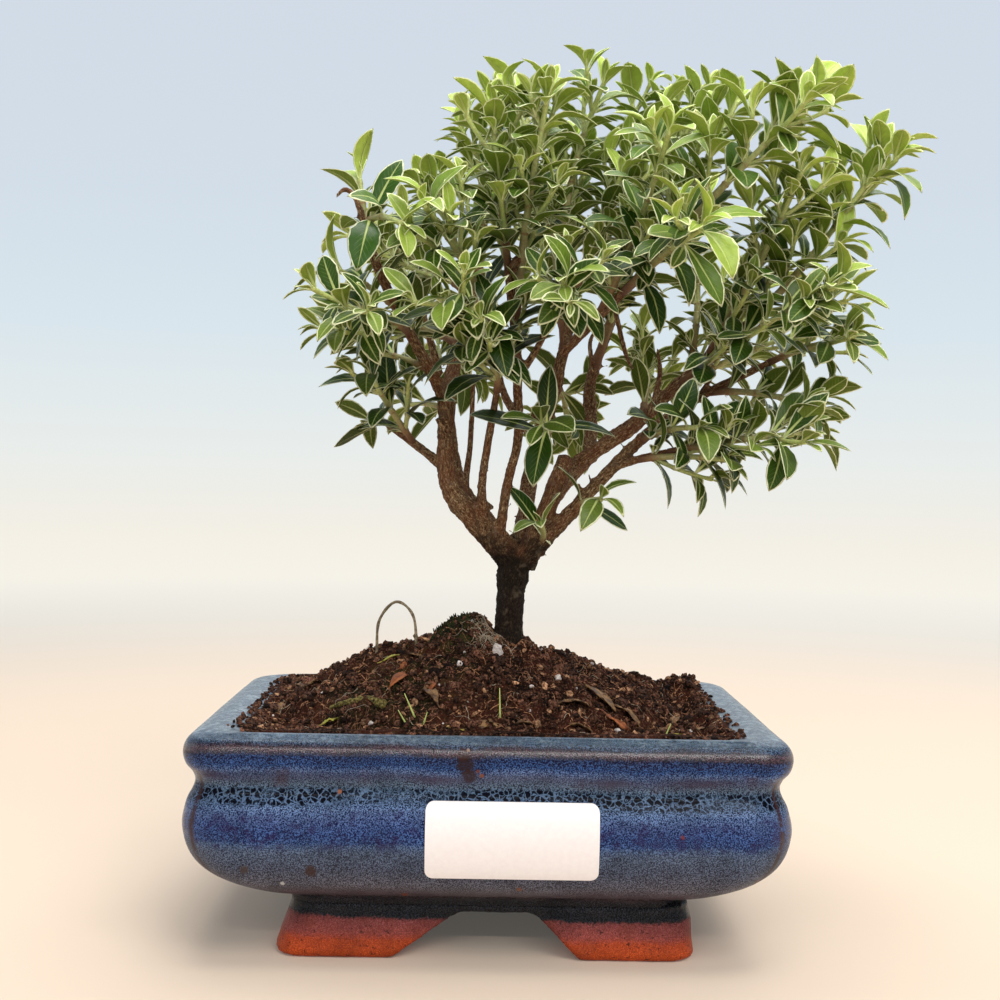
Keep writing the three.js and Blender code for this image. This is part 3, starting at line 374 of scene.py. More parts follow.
def grow_stem(curve, length, order, leaf_size, draw):
    reference = UP if abs(curve.tangent(0.5)[2]) < 0.8 else np.array([1.0, 0, 0])
    own = SIDE_STEM if order else STEM
    stem = {"curve": curve, "length": length, "reference": reference, "order": order, "leaf_size": leaf_size,
            "leaves": [], "sides": []}
    angle = math.pi * draw()
    distance = own["bare"] * length
    while distance < length - INTERNODE["end"]:
        t = distance / length
        scale = own["leaf_scale"] * lerp(1, LEAF["tip_scale"], t)
        pair = grow_pair(stem, t, angle, scale, lerp(LEAF["pitch_foot"], LEAF["pitch_tip"], t), draw, False)
        for leaf in [] if order else pair:
            grows = draw() < SIDE_GROWTH["chance"] and length > SIDE_GROWTH["shortest_parent"]
            reach = lerp(SIDE_GROWTH["reach_foot"], SIDE_GROWTH["reach_tip"], t)
            reach *= spread(draw, 1, SIDE_GROWTH["reach_spread"])
            if grows:
                axis = side_axis(leaf, curve.tangent(t), reach)
                stem["sides"].append(grow_stem(axis, reach, order + 1, leaf_size, draw))
        angle += spread(draw, math.pi / 2, INTERNODE["turn_spread"])
        distance += lerp(INTERNODE["foot"], INTERNODE["tip"], t) * own["internode_scale"]
    for back, turn, scale, pitch in TIP_PAIRS:
        scale *= own["tip_leaf_scale"] * LEAF["tip_scale"]
        grow_pair(stem, 1 - back / length, angle + turn, scale, pitch, draw, True)
    return stem


# ---- Meshes -------------------------------------------------------------------------------------
def ring_faces(rings, count, closed=True):
    """Quads between rings of points, that follow each other in one array."""
    steps = count if closed else count - 1
    k, i = np.meshgrid(np.arange(rings - 1), np.arange(steps), indexing="ij")
    j = (i + 1) % count
    return np.stack([k * count + i, k * count + j, (k + 1) * count + j, (k + 1) * count + i], -1).reshape(-1, 4)


def stacked(rings):
    """The points and faces of a closed body: rings of points with a floor and a lid."""
    count, lid = len(rings[0]), (len(rings) - 1) * len(rings[0])
    sides = ring_faces(len(rings), count)
    return np.vstack(rings), [sides, [np.arange(count)[::-1]], [lid + np.arange(count)]]


def grid_rim(rows, columns):
    """The outer points of a grid, once round: along its first row, then up its last column."""
    grid = np.arange(rows * columns).reshape(rows, columns)
    return np.concatenate([grid[0], grid[1:, -1], grid[-1, -2::-1], grid[-2:0:-1, 0]])


def circle(radius, count, x=0.0, z=0.0):
    angle = np.linspace(0, FULL_TURN, count, endpoint=False)
    return np.column_stack([x + radius * np.cos(angle), radius * np.sin(angle), np.full(count, z)])


def rounded_ring(z, half_width, half_depth, corner, corner_steps, side_steps):
    """A level ring with round corners, counterclockwise from above, and how near a corner each point is."""
    arcs = []
    for quarter, signs in enumerate([(1, 1), (-1, 1), (-1, -1), (1, -1)]):
        angles = math.pi / 2 * (quarter + np.arange(corner_steps + 1) / corner_steps)
        centre = np.multiply(signs, (half_width - corner, half_depth - corner))
        arcs.append(centre + corner * np.stack([np.cos(angles), np.sin(angles)], -1))
    share = np.arange(1, side_steps)[:, None] / side_steps
    sides = [lerp(arc[-1], follow[0], share) for arc, follow in zip(arcs, arcs[1:] + arcs[:1])]
    flat = np.vstack([part for pair in zip(arcs, sides) for part in pair])
    nearness = np.concatenate([np.sin(np.linspace(0, math.pi, corner_steps + 1)), np.zeros(side_steps - 1)])
    return np.column_stack([flat, np.full(len(flat), z)]), np.tile(nearness, 4)


def tube_mesh(centres, radii, sides, wobble):
    """A closed tube: points and faces, with each end drawn to a point, and each ring's frame."""
    centres, radii = np.asarray(centres, float), np.asarray(radii, float)
    along = unit(np.gradient(centres, axis=0))
    side = np.cross(along[0], UP if abs(along[0][2]) < 0.9 else [1.0, 0, 0])
    frames = []
    for tangent in along:
        side = unit(side - side.dot(tangent) * tangent)
        frames.append((side, np.cross(tangent, side)))
    angle = np.linspace(0, FULL_TURN, sides, endpoint=False)[None, :, None]
    reach = (radii[:, None] * wobble)[..., None]
    s, a = (np.array([frame[i] for frame in frames])[:, None, :] for i in (0, 1))
    rings = centres[:, None, :] + reach * (np.cos(angle) * s + np.sin(angle) * a)
    poles = [centres[0] - 0.35 * radii[0] * along[0], centres[-1] + 0.35 * radii[-1] * along[-1]]
    n, last = len(centres) * sides, (len(centres) - 1) * sides
    i = np.arange(sides)
    j = (i + 1) % sides
    foot, tip = np.stack([np.full(sides, n), j, i], -1), np.stack([np.full(sides, n + 1), last + i, last + j], -1)
    return np.vstack([rings.reshape(-1, 3), poles]), [ring_faces(len(centres), sides), foot, tip], frames


class Shape:
    """Points, faces, material numbers and point values that are gathered into one mesh."""

    def __init__(self):
        self.points, self.faces, self.kinds, self.values, self.count = [], [], [], {}, 0

    def add(self, points, faces, kind=0, **values):
        """faces is a list of index arrays of any width; kind is a number, or one for each array."""
        points = np.asarray(points, float).reshape(-1, 3)
        kinds = [kind] * len(faces) if isinstance(kind, int) else kind
        for rows, number in zip(faces, kinds):
            rows = np.asarray(rows, int) + self.count
            self.faces += rows.tolist()
            self.kinds += [number] * len(rows)
        for name in dict.fromkeys([*self.values, *values]):
            held = self.values.setdefault(name, [np.zeros(self.count)])
            held.append(np.broadcast_to(np.asarray(values.get(name, 0.0), float), len(points)).ravel())
        self.points.append(points)
        self.count += len(points)
        return self

    def tube(self, centres, radii, sides, kind=0, wobble=1, **values):
        """Adds a closed tube, with one value or one a ring, and gives back each ring's frame."""
        count = len(centres)
        points, faces, frames = tube_mesh(centres, np.broadcast_to(radii, count), sides, wobble)
        for name, value in values.items():
            rings = np.broadcast_to(value, count)
            values[name] = np.concatenate([np.repeat(rings, sides), rings[[0, -1]]])
        self.add(points, faces, kind, **values)
        return frames

    def make(self, name, materials, body="root", slot=None, replaces=(), smooth=True):
        mesh = bpy.data.meshes.new(name)
        mesh.from_pydata(((np.vstack(self.points) + MIDDLE) * MM).tolist(), [], self.faces)
        mesh.polygons.foreach_set("material_index", self.kinds)
        mesh.polygons.foreach_set("use_smooth", [smooth] * len(self.faces))
        for key, held in self.values.items():
            mesh.attributes.new(key, "FLOAT", "POINT").data.foreach_set("value", np.concatenate(held))
        for material in materials:
            mesh.materials.append(MATERIALS[material])
        mesh.update()
        piece = link(name, mesh)
        if body:
            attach(piece, body)
        if replaces:
            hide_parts(*replaces)
        return piece


def link(name, data):
    """A new object in the scene."""
    item = bpy.data.objects.new(name, data)
    bpy.context.scene.collection.objects.link(item)
    return item


def applied(piece):
    """Makes the result of a piece's modifiers its own mesh."""
    depsgraph = bpy.context.evaluated_depsgraph_get()
    mesh = bpy.data.meshes.new_from_object(piece.evaluated_get(depsgraph), depsgraph=depsgraph)
    piece.modifiers.clear()
    piece.data = mesh
    mesh.polygons.foreach_set("use_smooth", [True] * len(mesh.polygons))
    return piece


def cut(piece, points, faces):
    """Takes a closed body away from a piece."""
    cutter = Shape().add(points, faces).make("cutter", ["glaze"], body=None)
    modifier = piece.modifiers.new("cut", "BOOLEAN")
    modifier.operation, modifier.solver, modifier.object = "DIFFERENCE", "EXACT", cutter
    applied(piece)
    bpy.data.objects.remove(cutter)


def remeshed(piece, voxel):
    """Fuses a piece's closed parts into one skin and rounds it."""
    fuse = piece.modifiers.new("fuse", "REMESH")
    fuse.mode, fuse.voxel_size = "VOXEL", voxel * MM
    smooth = piece.modifiers.new("round", "SMOOTH")
    smooth.factor, smooth.iterations = 0.5, 2
    return applied(piece)


def mesh_points(mesh):
    """A mesh's points in the pot's own millimetres."""
    flat = np.empty(len(mesh.vertices) * 3)
    mesh.vertices.foreach_get("co", flat)
    return flat.reshape(-1, 3) / MM - MIDDLE


def set_points(mesh, points):
    mesh.vertices.foreach_set("co", ((points + MIDDLE) * MM).ravel())
    mesh.update()


def mesh_normals(mesh):
    flat = np.empty(len(mesh.vertices) * 3)
    mesh.vertices.foreach_get("normal", flat)
    return flat.reshape(-1, 3)


# ---- Material graphs ----------------------------------------------------------------------------
def colour(*bytes_):
    """A linear colour from sRGB bytes."""
    parts = [b / 255 for b in bytes_]
    return (*[p / 12.92 if p <= 0.04045 else ((p + 0.055) / 1.055) ** 2.4 for p in parts], 1.0)


class Graph:
    """One material: each call adds a node and gives back the socket that it makes."""

    def __init__(self, name, **constants):
        self.material = bpy.data.materials.new(name)
        self.material.use_nodes = True
        self.nodes, self.links = self.material.node_tree.nodes, self.material.node_tree.links
        self.shader = self.nodes["Principled BSDF"]
        for key, value in constants.items():
            self.shader.inputs[key.replace("_", " ")].default_value = value
        self.place = self.scale(self.node("ShaderNodeTexCoord").outputs["Object"], 1 / MM)

    def wire(self, value, socket):
        if isinstance(value, bpy.types.NodeSocket):
            self.links.new(value, socket)
        else:
            socket.default_value = value

    def node(self, kind, wires=(), **settings):
        """A new node: wires gives values or sockets for its inputs, by name or number."""
        node = self.nodes.new(kind)
        for key, value in settings.items():
            setattr(node, key, value)
        for key, value in dict(wires).items():
            self.wire(value, node.inputs[key])
        return node

    def math(self, operation, *values):
        return self.node("ShaderNodeMath", enumerate(values), operation=operation).outputs[0]

    def add(self, first, *others):
        for other in others:
            first = self.math("ADD", first, other)
        return first

    def mul(self, first, *others):
        for other in others:
            first = self.math("MULTIPLY", first, other)
        return first

    def sub(self, a, b):
        return self.math("SUBTRACT", a, b)

    def length(self, a, b):
        return self.math("SQRT", self.add(self.mul(a, a), self.mul(b, b)))

    def vector(self, operation, a, b):
        return self.node("ShaderNodeVectorMath", {0: a, 1: b}, operation=operation).outputs[0]

    def scale(self, vector, factor):
        return self.node("ShaderNodeVectorMath", {0: vector, "Scale": factor}, operation="SCALE").outputs[0]

    def separate(self, vector):
        return self.node("ShaderNodeSeparateXYZ", {0: vector}).outputs

    def attribute(self, name, kind="Fac"):
        return self.node("ShaderNodeAttribute", attribute_name=name).outputs[kind]

    def noise(self, scale, detail=2.0, roughness=0.5, distortion=0.0, vector=None, output=0):
        wires = {"Vector": self.place if vector is None else vector, "Scale": scale, "Detail": detail,
                 "Roughness": roughness, "Distortion": distortion}
        return self.node("ShaderNodeTexNoise", wires).outputs[output]

    def cells(self, scale, vector, feature="F1"):
        node = self.node("ShaderNodeTexVoronoi", {"Vector": vector, "Scale": scale}, feature=feature)
        return node.outputs["Distance"]

    def slope(self, value, low, high, to_low=0.0, to_high=1.0, kind="LINEAR"):
        """Straight from to_low to to_high as value goes from low to high."""
        names = ("Value", "From Min", "From Max", "To Min", "To Max")
        wires = zip(names, (value, low, high, to_low, to_high))
        return self.node("ShaderNodeMapRange", wires, interpolation_type=kind).outputs[0]

    def step(self, *values):
        """The same, smoothly."""
        return self.slope(*values, kind="SMOOTHSTEP")

    def band(self, value, middle, half, soft):
        """1 within half of middle, 0 beyond it."""
        distance = self.math("ABSOLUTE", self.sub(value, middle))
        return self.step(distance, half, half + soft, 1.0, 0.0)

    def mix(self, factor, a, b):
        return self.node("ShaderNodeMix", {0: factor, 6: a, 7: b}, data_type="RGBA").outputs[2]

    def ramp(self, value, low, high, stops):
        """Colours at values from low to high."""
        node = self.node("ShaderNodeValToRGB", {0: self.slope(value, low, high)})
        elements = node.color_ramp.elements
        while len(elements) < len(stops):
            elements.new(0.5)
        for element, (place, tint) in zip(elements, stops):
            element.position = (place - low) / (high - low)
            element.color = tint
        return node.outputs[0]

    def shade(self, value, low, high, stops):
        """The same, for colours given as sRGB bytes."""
        return self.ramp(value, low, high, [(place, colour(*tint)) for place, tint in stops])

    def finish(self, base, roughness=None, relief=None, depth=0.0, **sockets):
        """Wires the shader: relief 1 stands depth millimetres proud of relief 0."""
        sockets["Base_Color"] = base
        if relief is not None:
            bump = self.node("ShaderNodeBump", {"Height": relief, "Distance": depth * MM})
            sockets |= {"Roughness": roughness, "Normal": bump.outputs[0]}
        for key, value in sockets.items():
            self.wire(value, self.shader.inputs[key.replace("_", " ")])
        return self.material


# ---- Materials ----------------------------------------------------------------------------------
CREAM, YOUNG_CREAM = colour(236, 238, 196), colour(238, 244, 178)
LEAF_FACES = {
    "leaf_upper": {"old": (40, 74, 8), "young": (164, 186, 76), "rib": (206, 218, 136), "roughness": (0.28, 0.42),
                   "constants": {"IOR": 1.45, "Specular_IOR_Level": 0.26}},
    "leaf_under": {"old": (91, 112, 32), "young": (166, 184, 82), "rib": (204, 214, 140), "roughness": (0.58, 0.7),
                   "constants": {"Specular_IOR_Level": 0.18}},
}


def leaf_material(name):
    """Mottled green by age, with a pale midrib, faint veins and a cream margin, and painted light and shade by place
    in the crown.
    """
    look = LEAF_FACES[name]
    g = Graph(name, **look["constants"])
    youth, sun, rib = g.attribute("youth"), g.attribute("sun"), colour(*look["rib"])
    base = g.mix(youth, colour(*look["old"]), colour(*look["young"]))
    # Sun dims or brightens each leaf by its place in the crown: painted light and shade.
    base = g.scale(base, g.mul(g.slope(g.attribute("tint"), 0.0, 1.0, 0.76, 1.24), sun))
    base = g.scale(base, g.slope(g.noise(0.55, 3.0), 0.3, 0.7, 0.88, 1.14))

    from_rib, from_rim, along = g.attribute("rib"), g.attribute("rim"), g.attribute("along")
    slant = g.sub(g.mul(along, 11.0), g.mul(from_rib, 0.85))
    veins = g.mul(g.step(g.math("PINGPONG", slant, 0.5), 0.0, 0.09, 1.0, 0.0), g.step(from_rib, 2.6, 0.4))
    base = g.mix(g.mul(veins, 0.16), base, rib)
    rib_width = g.slope(along, 0.0, 1.0, 0.55, 0.12)
    on_rib = g.step(from_rib, g.mul(rib_width, 0.45), rib_width, 1.0, 0.0)
    base = g.mix(g.mul(on_rib, g.slope(along, 0.1, 1.0, 0.95, 0.35)), base, rib)
    margin_width = g.slope(g.noise(0.5, 1.0), 0.25, 0.75, 0.3, 0.62)
    on_rim = g.step(from_rim, g.mul(margin_width, 0.6), margin_width, 1.0, 0.0)
    # The cream margin is dimmed by sun as well: painted shade inside the crown.
    margin = g.scale(g.mix(youth, CREAM, YOUNG_CREAM), g.slope(sun, 0.4, 1.0, 0.6, 1.0))
    base = g.mix(on_rim, base, margin)

    roughness = g.slope(g.noise(0.8), 0.3, 0.7, *look["roughness"])
    if name == "leaf_under":
        return g.finish(base, roughness, g.add(on_rib, g.mul(veins, 0.4)), 0.15)
    relief = g.add(g.mul(on_rib, -0.6), g.mul(veins, -0.25), g.mul(g.noise(2.2), 0.35))
    return g.finish(base, roughness, relief, 0.12)


def stem_material():
    """Green bark: bright and smooth at the tip, olive and then brown towards the foot, brown at each node."""
    g = Graph("stem")
    age, node = g.attribute("age"), g.attribute("node")
    base = g.shade(age, 0.0, 1.0, [(0.0, (190, 204, 108)), (0.35, (178, 186, 120)), (0.72, (158, 152, 102)),
                                   (0.9, (124, 90, 62)), (1.0, (98, 62, 42))])
    streaks = g.noise(1.6, 3.0)
    base = g.scale(base, g.slope(streaks, 0.3, 0.7, 0.8, 1.18))
    ring = g.mul(node, g.step(g.noise(1.4), 0.35, 0.6, 0.25, 1.0), g.step(age, 0.1, 0.5, 0.25, 0.85))
    base = g.mix(ring, base, colour(138, 92, 60))
    return g.finish(base, g.slope(age, 0.0, 1.0, 0.45, 0.75), streaks, 0.12)


def bark_material():
    """Fissured red-brown bark, near black on the trunk below the fork."""
    g = Graph("bark", Specular_IOR_Level=0.2)
    round_limb = g.attribute("bark", "Vector")
    fissures = g.noise(2.0, 6.0, 0.7, 0.3, round_limb)
    fine = g.noise(4.4, 5.0, 0.65)
    base = g.shade(fissures, 0.25, 0.75, [(0.30, (26, 15, 10)), (0.42, (98, 68, 47)), (0.54, (158, 122, 88)),
                                          (0.66, (232, 208, 160))])
    base = g.mix(g.mul(g.step(g.noise(0.16), 0.4, 0.6), 0.4), base, colour(134, 76, 50))
    base = g.scale(base, g.slope(fine, 0.32, 0.68, 0.4, 1.45))
    height = g.separate(g.place)[2]
    dark_below_fork = g.step(g.add(height, g.mul(g.noise(0.22, 3.0), 26.0)), 108.0, 122.0, 1.0, 0.0)
    dark = g.shade(fissures, 0.25, 0.8, [(0.3, (6, 6, 5)), (0.55, (17, 15, 12)), (0.72, (58, 44, 32))])
    base = g.mix(g.mul(dark_below_fork, 0.92), base, dark)
    base = g.mix(g.mul(g.step(g.noise(0.3, 4.0), 0.58, 0.68), 0.3), base, colour(150, 134, 112))
    relief = g.add(fissures, g.mul(fine, 0.4), g.mul(g.cells(1.5, round_limb), 0.3))
    return g.finish(base, g.slope(fine, 0.2, 0.8, 0.62, 0.9), relief, 1.1)


def soil_material():
    """Fibrous peat: dark brown, redder and paler in specks, with a green film of moss on the knoll."""
    g = Graph("soil", Specular_IOR_Level=0.08)
    grain = g.noise(1.5, 5.0, 0.7)
    base = g.shade(grain, 0.25, 0.8, [(0.3, (3, 2, 1)), (0.5, (18, 10, 7)), (0.6, (88, 56, 41)),
                                      (0.73, (214, 170, 140))])
    base = g.mix(g.mul(g.step(g.noise(0.09, 3.0), 0.42, 0.6), 0.45), base, colour(86, 44, 30))
    base = g.scale(base, g.slope(g.attribute("tint"), 0.0, 1.0, 0.65, 1.45))
    moss = g.mul(g.attribute("moss"), g.step(g.noise(0.45, 4.0), 0.42, 0.6), 0.8)
    base = g.mix(moss, base, colour(66, 74, 36))
    fine = g.noise(4.0, 4.0, 0.7)
    return g.finish(base, g.slope(fine, 0.3, 0.7, 0.78, 0.98), g.add(fine, grain), 0.5)


def crumb_material(name, dark, light, roughness, tints=(0.75, 1.2)):
    """A small loose thing on the soil: mottled between two colours, each piece with its own tint."""
    g = Graph(name, Specular_IOR_Level=0.15)
    grain = g.noise(1.8, 4.0, 0.6)
    base = g.mix(g.step(grain, 0.35, 0.65), colour(*dark), colour(*light))
    base = g.scale(base, g.slope(g.attribute("tint"), 0.0, 1.0, *tints))
    return g.finish(base, g.slope(grain, 0.3, 0.7, roughness, roughness + 0.15), grain, 0.3)


def dead_leaf_material(name, dark, light):
    """A dry leaf, stained between two colours, with a dark midrib."""
    g = Graph(name)
    from_rib = g.attribute("rib")
    slant = g.sub(g.mul(g.attribute("along"), 9.0), from_rib)
    veins = g.step(g.math("PINGPONG", slant, 0.5), 0.0, 0.12, 1.0, 0.0)
    stain = g.noise(0.5, 4.0, 0.6)
    base = g.mix(g.step(stain, 0.38, 0.6), colour(*dark), colour(*light))
    base = g.mix(g.mul(g.step(from_rib, 0.12, 0.3, 1.0, 0.0), 0.6), base, colour(*dark))
    relief = g.add(g.mul(veins, 0.6), g.noise(2.0, 3.0))
    return g.finish(base, g.slope(stain, 0.3, 0.7, 0.5, 0.75), relief, 0.25)


def mottled_material(name, noise_row, edges, dark, light, roughness, depth, **constants):
    """Two colours that one noise mixes, between two of its values, and that noise as relief."""
    g = Graph(name, **constants)
    grain = g.noise(*noise_row)
    base = g.mix(g.step(grain, *edges), colour(*dark), colour(*light))
    return g.finish(base, g.slope(grain, 0.3, 0.7, *roughness), grain, depth)


# The glaze from the foot up: [height, the deep colour in its cells, the pale colour of the net between them].
GLAZE_BANDS = [
    [0.0, (158, 60, 22), (204, 88, 36)],  # terracotta
    [4.4, (148, 56, 26), (190, 80, 40)],
    [6.0, (122, 54, 48), (156, 78, 70)],  # mauve wash
    [9.3, (104, 48, 48), (138, 76, 74)],
    [9.9, (6, 6, 9), (40, 42, 50)],  # near-black ring on the foot, under the belly
    [14.6, (10, 10, 14), (50, 54, 64)],
    [16.5, (74, 64, 68), (70, 60, 67)],  # brown-grey underside
    [20.0, (43, 39, 47), (121, 122, 138)],
    [25.0, (35, 34, 47), (90, 100, 122)],  # slate
    [29.5, (33, 39, 57), (96, 112, 138)],
    [31.0, (28, 41, 70), (92, 115, 151)],
    [32.0, (6, 20, 64), (71, 101, 152)],  # royal blue
    [34.0, (1, 6, 54), (67, 98, 154)],
    [37.0, (3, 10, 53), (83, 103, 148)],
    [39.6, (6, 19, 54), (107, 132, 172)],
    [40.6, (2, 3, 14), (98, 122, 158)],  # spotted band
    [44.0, (2, 3, 17), (92, 116, 144)],
    [45.2, (25, 27, 41), (97, 119, 145)],  # neck
    [47.2, (46, 48, 73), (94, 107, 141)],
    [48.8, (23, 36, 78), (103, 129, 173)],
    [50.2, (2, 7, 46), (50, 90, 150)],  # cobalt
    [52.4, (2, 5, 38), (56, 78, 120)],
    [53.1, (10, 6, 18), (70, 54, 72)],  # purple-brown break on the rim's edge
    [53.8, (32, 13, 18), (94, 62, 71)],
    [54.7, (21, 14, 22), (76, 70, 83)],
    [55.3, (11, 15, 29), (72, 92, 120)],  # rim
    [57.5, (9, 15, 25), (82, 107, 128)],
]
# Parts of the wall that look different: [height of their middle, half of how high they are, softness].
GLAZE_PARTS = {
    "slate": (24.0, 6.5, 2.0), "ridges": (32.0, 15.0, 4.0), "purple": (34.5, 3.4, 2.5), "spotted": (41.5, 2.5, 1.5),
    "cells": (42.4, 1.4, 1.0), "drips": (47.0, 1.6, 1.2), "shiny edge": (53.6, 0.5, 0.7),
}
GLAZE_TOP = 57.6
# How much of each height the pale net covers, from 0 to 1.
NET_COVER = [[8, 0.35], [22, 0.44], [30, 0.44], [33, 0.36], [38, 0.5], [41, 0.46], [45, 0.52], [48, 0.42],
             [51, 0.38], [54, 0.32], [57, 0.5]]
# Marks on the front, from the pot's middle: [x, height, radius, times wider than high, colour].
GLAZE_MARKS = [
    [-42.5, 24.6, 1.5, 1, (58, 36, 26)], [-58.5, 24.8, 1.1, 1, (66, 52, 48)],
    [-49.5, 21.0, 0.55, 1, (190, 192, 192)], [-36.0, 43.6, 0.55, 1, (150, 92, 56)],
    [8.0, 20.2, 0.7, 1, (120, 74, 48)], [-20.0, 17.4, 0.8, 1, (118, 66, 42)],
    [47.0, 34.6, 0.5, 1, (110, 48, 52)], [66.5, 22.4, 0.6, 1, (112, 66, 48)],
    [-5.6, 51.2, 2.3, 1, (34, 16, 13)], [-4.6, 48.2, 1.9, 1, (46, 24, 20)],
    [-6.2, 53.6, 1.5, 1, (52, 24, 18)], [-1.6, 48.4, 0.6, 1, (128, 70, 38)],
    [-5.0, 54.6, 0.4, 1, (150, 120, 100)], [-2.6, 49.6, 0.5, 1, (104, 52, 32)],
    [-67.0, 47.4, 1.7, 3.2, (54, 42, 66)], [-13.0, 47.0, 1.6, 4.6, (62, 52, 74)],
    [52.0, 47.0, 1.9, 4.4, (62, 50, 66)], [30.0, 46.6, 1.3, 5.0, (70, 64, 84)],
]


def glaze_net(g, level, z):
    """The glaze's grain, and the net: fine everywhere, with dark cells a millimetre or two wide under the neck."""
    cover = g.ramp(z, 5.0, 58.0, [(height, (share, share, share, 1)) for height, share in NET_COVER])
    threshold = g.slope(cover, 0.0, 1.0, 0.62, 0.38)
    grain = g.noise(3.3, 3.0, 0.65)
    net = g.step(grain, g.sub(threshold, 0.07), g.add(threshold, 0.07))
    warp = g.scale(g.noise(0.9, output=1), 1.1)
    walls = g.cells(0.66, g.vector("ADD", g.place, warp), "DISTANCE_TO_EDGE")
    thick = g.slope(g.noise(0.5), 0.35, 0.65, 0.01, 0.1)
    lines = g.step(walls, g.mul(thick, 0.5), g.add(thick, 0.06), 1.0, 0.0)
    filled = g.mul(g.step(g.noise(0.7), 0.56, 0.66), net)
    spotted = g.math("MAXIMUM", g.mul(lines, g.slope(net, 0.0, 1.0, 0.6, 1.0)), filled)
    patchy = g.step(g.noise(0.08), 0.36, 0.5, 0.4, 1.0)
    return grain, g.mix(g.mul(g.band(level, *GLAZE_PARTS["cells"]), patchy), net, spotted)


def glaze_marks(g, base, x, z, y):
    """Rusty breaks, a chip and worn patches on the front, each a ragged spot."""
    front = g.step(y, -40.0, -30.0, 1.0, 0.0)
    ragged = g.mul(g.sub(g.noise(1.1, 3.0), 0.5), 0.8)
    for x0, z0, radius, wider, tint in GLAZE_MARKS:
        reach = g.length(g.math("DIVIDE", g.sub(x, x0), wider), g.sub(z, z0))
        reach = g.add(reach, g.mul(ragged, radius))
        edge, strength = (0.6, 0.85) if wider == 1 else (0.0, 0.7)
        spot = g.mul(g.step(reach, edge * radius, 1.3 * radius, strength, 0.0), front)
        base = g.mix(spot, base, colour(*tint))
    return base


def glaze_material():
    """Layered run glaze over red clay: its colour goes by height, and breaks into a pale net over deep cells."""
    g = Graph("glaze", IOR=1.5, Coat_Weight=0.05, Coat_Roughness=0.05)
    x, y, z = g.separate(g.vector("SUBTRACT", g.place, tuple(MIDDLE)))
    drift = g.mul(g.sub(g.noise(0.045, 3.0), 0.5), 3.6)
    ragged = g.mul(g.sub(g.noise(1.3, 4.0, 0.65), 0.5), 2.4)
    level = g.add(z, drift, ragged)
    grain, net = glaze_net(g, level, z)
    deep, pale = (g.shade(level, 0.0, GLAZE_TOP, [(row[0], row[tone]) for row in GLAZE_BANDS]) for tone in (1, 2))
    base = g.mix(net, deep, pale)
    base = g.scale(base, g.slope(g.noise(0.12, 3.0), 0.3, 0.7, 0.78, 1.22))
    purple = g.mul(g.step(g.noise(0.3, 4.0, 0.7), 0.5, 0.62), 0.55, g.band(level, *GLAZE_PARTS["purple"]))
    base = g.mix(purple, base, colour(34, 22, 66))

    # The level top of the rim is dusty and pale, less so along the front; its paleness is partly painted reflection
    # of the bright room.
    facing = g.separate(g.node("ShaderNodeNewGeometry").outputs["Normal"])[2]
    on_top = g.mul(g.step(facing, 0.62, 0.97), g.step(z, 54.5, 56.0))
    dust_and_sheen = g.mix(g.step(g.noise(0.8, 5.0, 0.75), 0.38, 0.62), colour(32, 48, 66), colour(152, 168, 178))
    dust_and_sheen_mask = g.mul(g.step(g.noise(0.3, 3.0), 0.35, 0.62, 0.15, 0.9), g.step(y, -50.0, -44.0, 0.45, 1.0))
    base = g.mix(g.mul(on_top, dust_and_sheen_mask), base, dust_and_sheen)

    # Corner ridges break to brown, and brown drips cross the neck.
    ridge = g.mul(g.step(g.attribute("corner"), 0.975, 0.997), g.band(z, *GLAZE_PARTS["ridges"]),
                  g.step(g.noise(0.3, 3.0), 0.3, 0.42), 0.85)
    base = g.mix(ridge, base, colour(52, 24, 20))
    drips = g.step(g.noise(0.07, vector=g.vector("MULTIPLY", g.place, (1.0, 1.0, 0.35))), 0.55, 0.68)
    base = g.mix(g.mul(drips, g.band(level, *GLAZE_PARTS["drips"]), 0.6), base, colour(66, 44, 50))
    base = glaze_marks(g, base, x, z, y)

    # Bare clay of the feet: sooty specks and a powdery, duller surface.
    clay = g.step(level, 9.4, 10.4, 1.0, 0.0)
    soot = g.step(g.noise(1.0, 4.0, 0.7), 0.58, 0.66)
    base = g.mix(g.mul(soot, clay, 0.8), base, colour(36, 20, 16))
    stain = g.step(g.noise(0.16, 3.0), 0.5, 0.66)
    base = g.mix(g.mul(stain, clay, 0.35), base, colour(104, 44, 26))

    slate, spotted = g.band(level, *GLAZE_PARTS["slate"]), g.band(z, *GLAZE_PARTS["spotted"])
    roughness = g.add(g.mul(slate, 0.22), g.mul(clay, 0.3), g.mul(spotted, 0.08), g.mul(on_top, 0.1),
                      g.mul(g.noise(1.2, 3.0), 0.12), 0.14)
    relief = g.add(g.mul(grain, 0.5), g.mul(g.noise(0.25), 1.6), g.mul(clay, g.noise(2.4, 4.0), 1.2))
    gloss = g.add(g.step(spotted, 0.0, 1.0, 0.15, 0.04), g.mul(g.band(z, *GLAZE_PARTS["shiny edge"]), 0.6),
                  g.mul(on_top, 0.12))
    return g.finish(base, roughness, relief, 0.14, Specular_IOR_Level=gloss)


